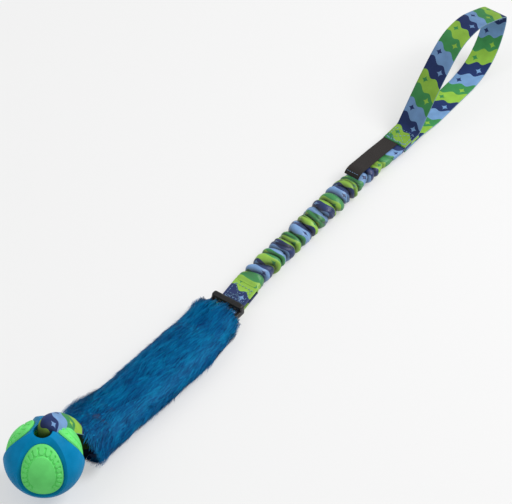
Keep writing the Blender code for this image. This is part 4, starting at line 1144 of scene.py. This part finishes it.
class TUG_OT_top_end(bpy.types.Operator):
    """The cover's flattened upper end with the plain woven label sewn on it"""
    bl_idname = "tug_toy.top_end"
    bl_label = "Top End and Label"

    def execute(self, context):
        sizes = context.scene.tug_toy_sizes
        made = materials()
        end = cover_skin("cover_flat_end", FLAT_X, JUNCTION_X - 1.0 * MM, sizes, closed_end=True)
        dress(end, made["ruffles"], None, "printed_webbing", "bungee_top_end")
        label = webbing("plain_woven_label", label_line(), 16 * MM, 0.6 * MM, side=4.2 * MM)
        dress(label, made["label"], None, "label", "woven_label")
        for piece in (end, label):
            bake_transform(piece)
        (x0, z0), (x1, z1) = label_line()[0], label_line()[2]
        rise = (z1 - z0) / (x1 - x0)
        rows = [[(x0 + 2.2 * MM, y, z0 + rise * 2.2 * MM + 0.45 * MM)
                 for y in np.linspace(-2 * MM, 11 * MM, 5)]]
        tack = stitches("label_stitches", rows, 1.8 * MM)
        dress(tack, made["thread"], "bungee_end", "thread", "label_tack")
        return {"FINISHED"}


# The hand loop


def loop_line():
    """The hand loop's line, from the upper ply's folded end round the loop to the lower ply."""
    thick = 1.6 * MM
    upper, lower, ground = SEAM_Z + 2.7 * MM, SEAM_Z - 2.7 * MM, thick / 2
    shape = ((0.045, 0.25), (0.20, 0.555), (0.36, 0.825), (0.47, 0.955), (0.58, 0.995), (0.70, 0.975),
             (0.84, 0.875), (0.965, 0.765), (0.990, 0.69), (0.962, 0.49), (0.905, 0.29), (0.825, 0.14),
             (0.735, 0.055))
    reach, rise = 145.5 * MM, 75.5 * MM - ground
    points = [(FOLD_X, upper), (JUNCTION_X - 8 * MM, upper), (JUNCTION_X - 1 * MM, upper + 0.6 * MM)]
    points += [(JUNCTION_X + reach * u, rise * h) for u, h in shape]
    flat = [(JUNCTION_X + reach * share, ground) for share in (0.62, 0.22)]
    tail = [(JUNCTION_X + 10 * MM, lower - 1.2 * MM), (JUNCTION_X - 1 * MM, lower), (FOLD_X, lower)]
    return np.vstack([smooth_line(points + flat[:1], 12), smooth_line(flat[1:] + tail, 12)])


class TUG_OT_handle(bpy.types.Operator):
    """Hand loop of printed webbing, sewn down with a box and cross over the cover's end"""
    bl_idname = "tug_toy.handle"
    bl_label = "Hand Loop"

    def execute(self, context):
        sizes = context.scene.tug_toy_sizes
        made = materials()
        loop = webbing("hand_loop_webbing", loop_line(), sizes.web_width, sizes.web_thick, print_start=-3.0)
        dress(loop, made["webbing"], "handle", "printed_webbing", "handle_webbing")
        top = SEAM_Z + 3.65 * MM
        box, *cross = box_and_cross(FOLD_X + 1.6 * MM, JUNCTION_X - 6 * MM, 10 * MM, lambda x: top)
        edge = [(FOLD_X + 1.4 * MM + 1.8 * MM * (k % 2), -11 * MM + 1.1 * MM * k, top) for k in range(21)]
        rows = stitches("handle_stitches", [box, edge, *cross], sizes.stitch_length)
        dress(rows, made["thread"], "handle", "thread", "handle_box_stitch")
        return {"FINISHED"}


# The stage

LENS = 246.05  # mm on a 36 mm sensor
DISTANCE = 3.2
AZIMUTH, ELEVATION = radians(-53.5), radians(45.0)
VIEW_MIDDLE = Vector((BALL.x + 335.2 * MM, 24.2 * MM, 0.0))
SOFTBOXES = (  # name, place, size across, watts
    ("key_softbox", (1.0, -1.0, 1.8), 1.5, 33.0),
    ("fill_softbox", (-1.3, 0.9, 1.5), 1.6, 5.0),
)
LIT_POINT = Vector((0, 0, 0.03))


def aimed(name, data, place, direction):
    """A lamp or camera at a place, looking in a direction."""
    obj = bpy.data.objects.new(name, data)
    obj.location = place
    obj.rotation_mode = "QUATERNION"
    obj.rotation_quaternion = direction.to_track_quat("-Z", "Y")
    bpy.context.scene.collection.objects.link(obj)
    return obj


class TUG_OT_stage(bpy.types.Operator):
    """Pale lit floor, soft studio lights and the camera at the photograph's angle"""
    bl_idname = "tug_toy.stage"
    bl_label = "Stage"

    def execute(self, context):
        deselect()
        bpy.ops.mesh.primitive_plane_add(size=14.0, location=(0, 0, 0))
        floor = bpy.context.object
        floor.name = "studio_floor"
        material, _, shader = new_material("painted_studio_floor", Roughness=0.9, Specular_IOR_Level=0.1)
        shader["Base Color"].default_value = (0.48, 0.48, 0.48, 1.0)
        shader["Emission Color"].default_value = (*context.scene.tug_toy_colours.floor, 1.0)
        shader["Emission Strength"].default_value = 0.50
        floor.data.materials.append(material)
        floor.visible_diffuse = False
        world = bpy.data.worlds.new("studio")
        context.scene.world = world
        world.use_nodes = True
        sky = world.node_tree.nodes["Background"]
        sky.inputs["Color"].default_value = (1.0, 1.0, 1.0, 1.0)
        sky.inputs["Strength"].default_value = 0.46
        for name, place, size, power in SOFTBOXES:
            light = bpy.data.lights.new(name, "AREA")
            light.shape = "DISK"
            light.size = size
            light.energy = power
            aimed(name, light, place, LIT_POINT - Vector(place))
        lens = bpy.data.cameras.new("camera")
        lens.lens = LENS
        lens.sensor_width = 36.0
        lens.clip_start, lens.clip_end = 0.1, 50.0
        back = Vector((sin(AZIMUTH) * cos(ELEVATION), -cos(AZIMUTH) * cos(ELEVATION), sin(ELEVATION)))
        context.scene.camera = aimed("camera", lens, VIEW_MIDDLE + back * DISTANCE, -back)
        context.scene.view_settings.view_transform = "Standard"
        return {"FINISHED"}


class TUG_PT_panel(bpy.types.Panel):
    """Lists the toy's pieces, sizes and colours"""
    bl_idname = "TUG_PT_panel"
    bl_label = "Tug Toy"
    bl_space_type = "VIEW_3D"
    bl_region_type = "UI"
    bl_category = "Tug Toy"

    def draw(self, context):
        column = self.layout.column()
        for operator in OPERATORS:
            column.operator(operator.bl_idname)
        for group in (context.scene.tug_toy_sizes, context.scene.tug_toy_colours):
            for key in group.bl_rna.properties.keys():
                if key not in ("rna_type", "name"):
                    column.prop(group, key)


OPERATORS = (TUG_OT_stage, TUG_OT_ball, TUG_OT_ball_strap, TUG_OT_core_strap, TUG_OT_fur_sleeve,
             TUG_OT_buckle, TUG_OT_tab, TUG_OT_bungee, TUG_OT_top_end, TUG_OT_handle)
CLASSES = (TugToySizes, TugToyColours) + OPERATORS + (TUG_PT_panel,)


def register():
    """Add the toy's classes, sizes and colours."""
    for cls in CLASSES:
        bpy.utils.register_class(cls)
    bpy.types.Scene.tug_toy_sizes = bpy.props.PointerProperty(type=TugToySizes)
    bpy.types.Scene.tug_toy_colours = bpy.props.PointerProperty(type=TugToyColours)


def unregister():
    """Take them away again."""
    del bpy.types.Scene.tug_toy_colours
    del bpy.types.Scene.tug_toy_sizes
    for cls in reversed(CLASSES):
        bpy.utils.unregister_class(cls)


def main():
    """Build the toy piece by piece."""
    register()
    for operator in OPERATORS:
        group, name = operator.bl_idname.split(".")
        getattr(getattr(bpy.ops, group), name)()


if __name__ == "__main__":
    main()
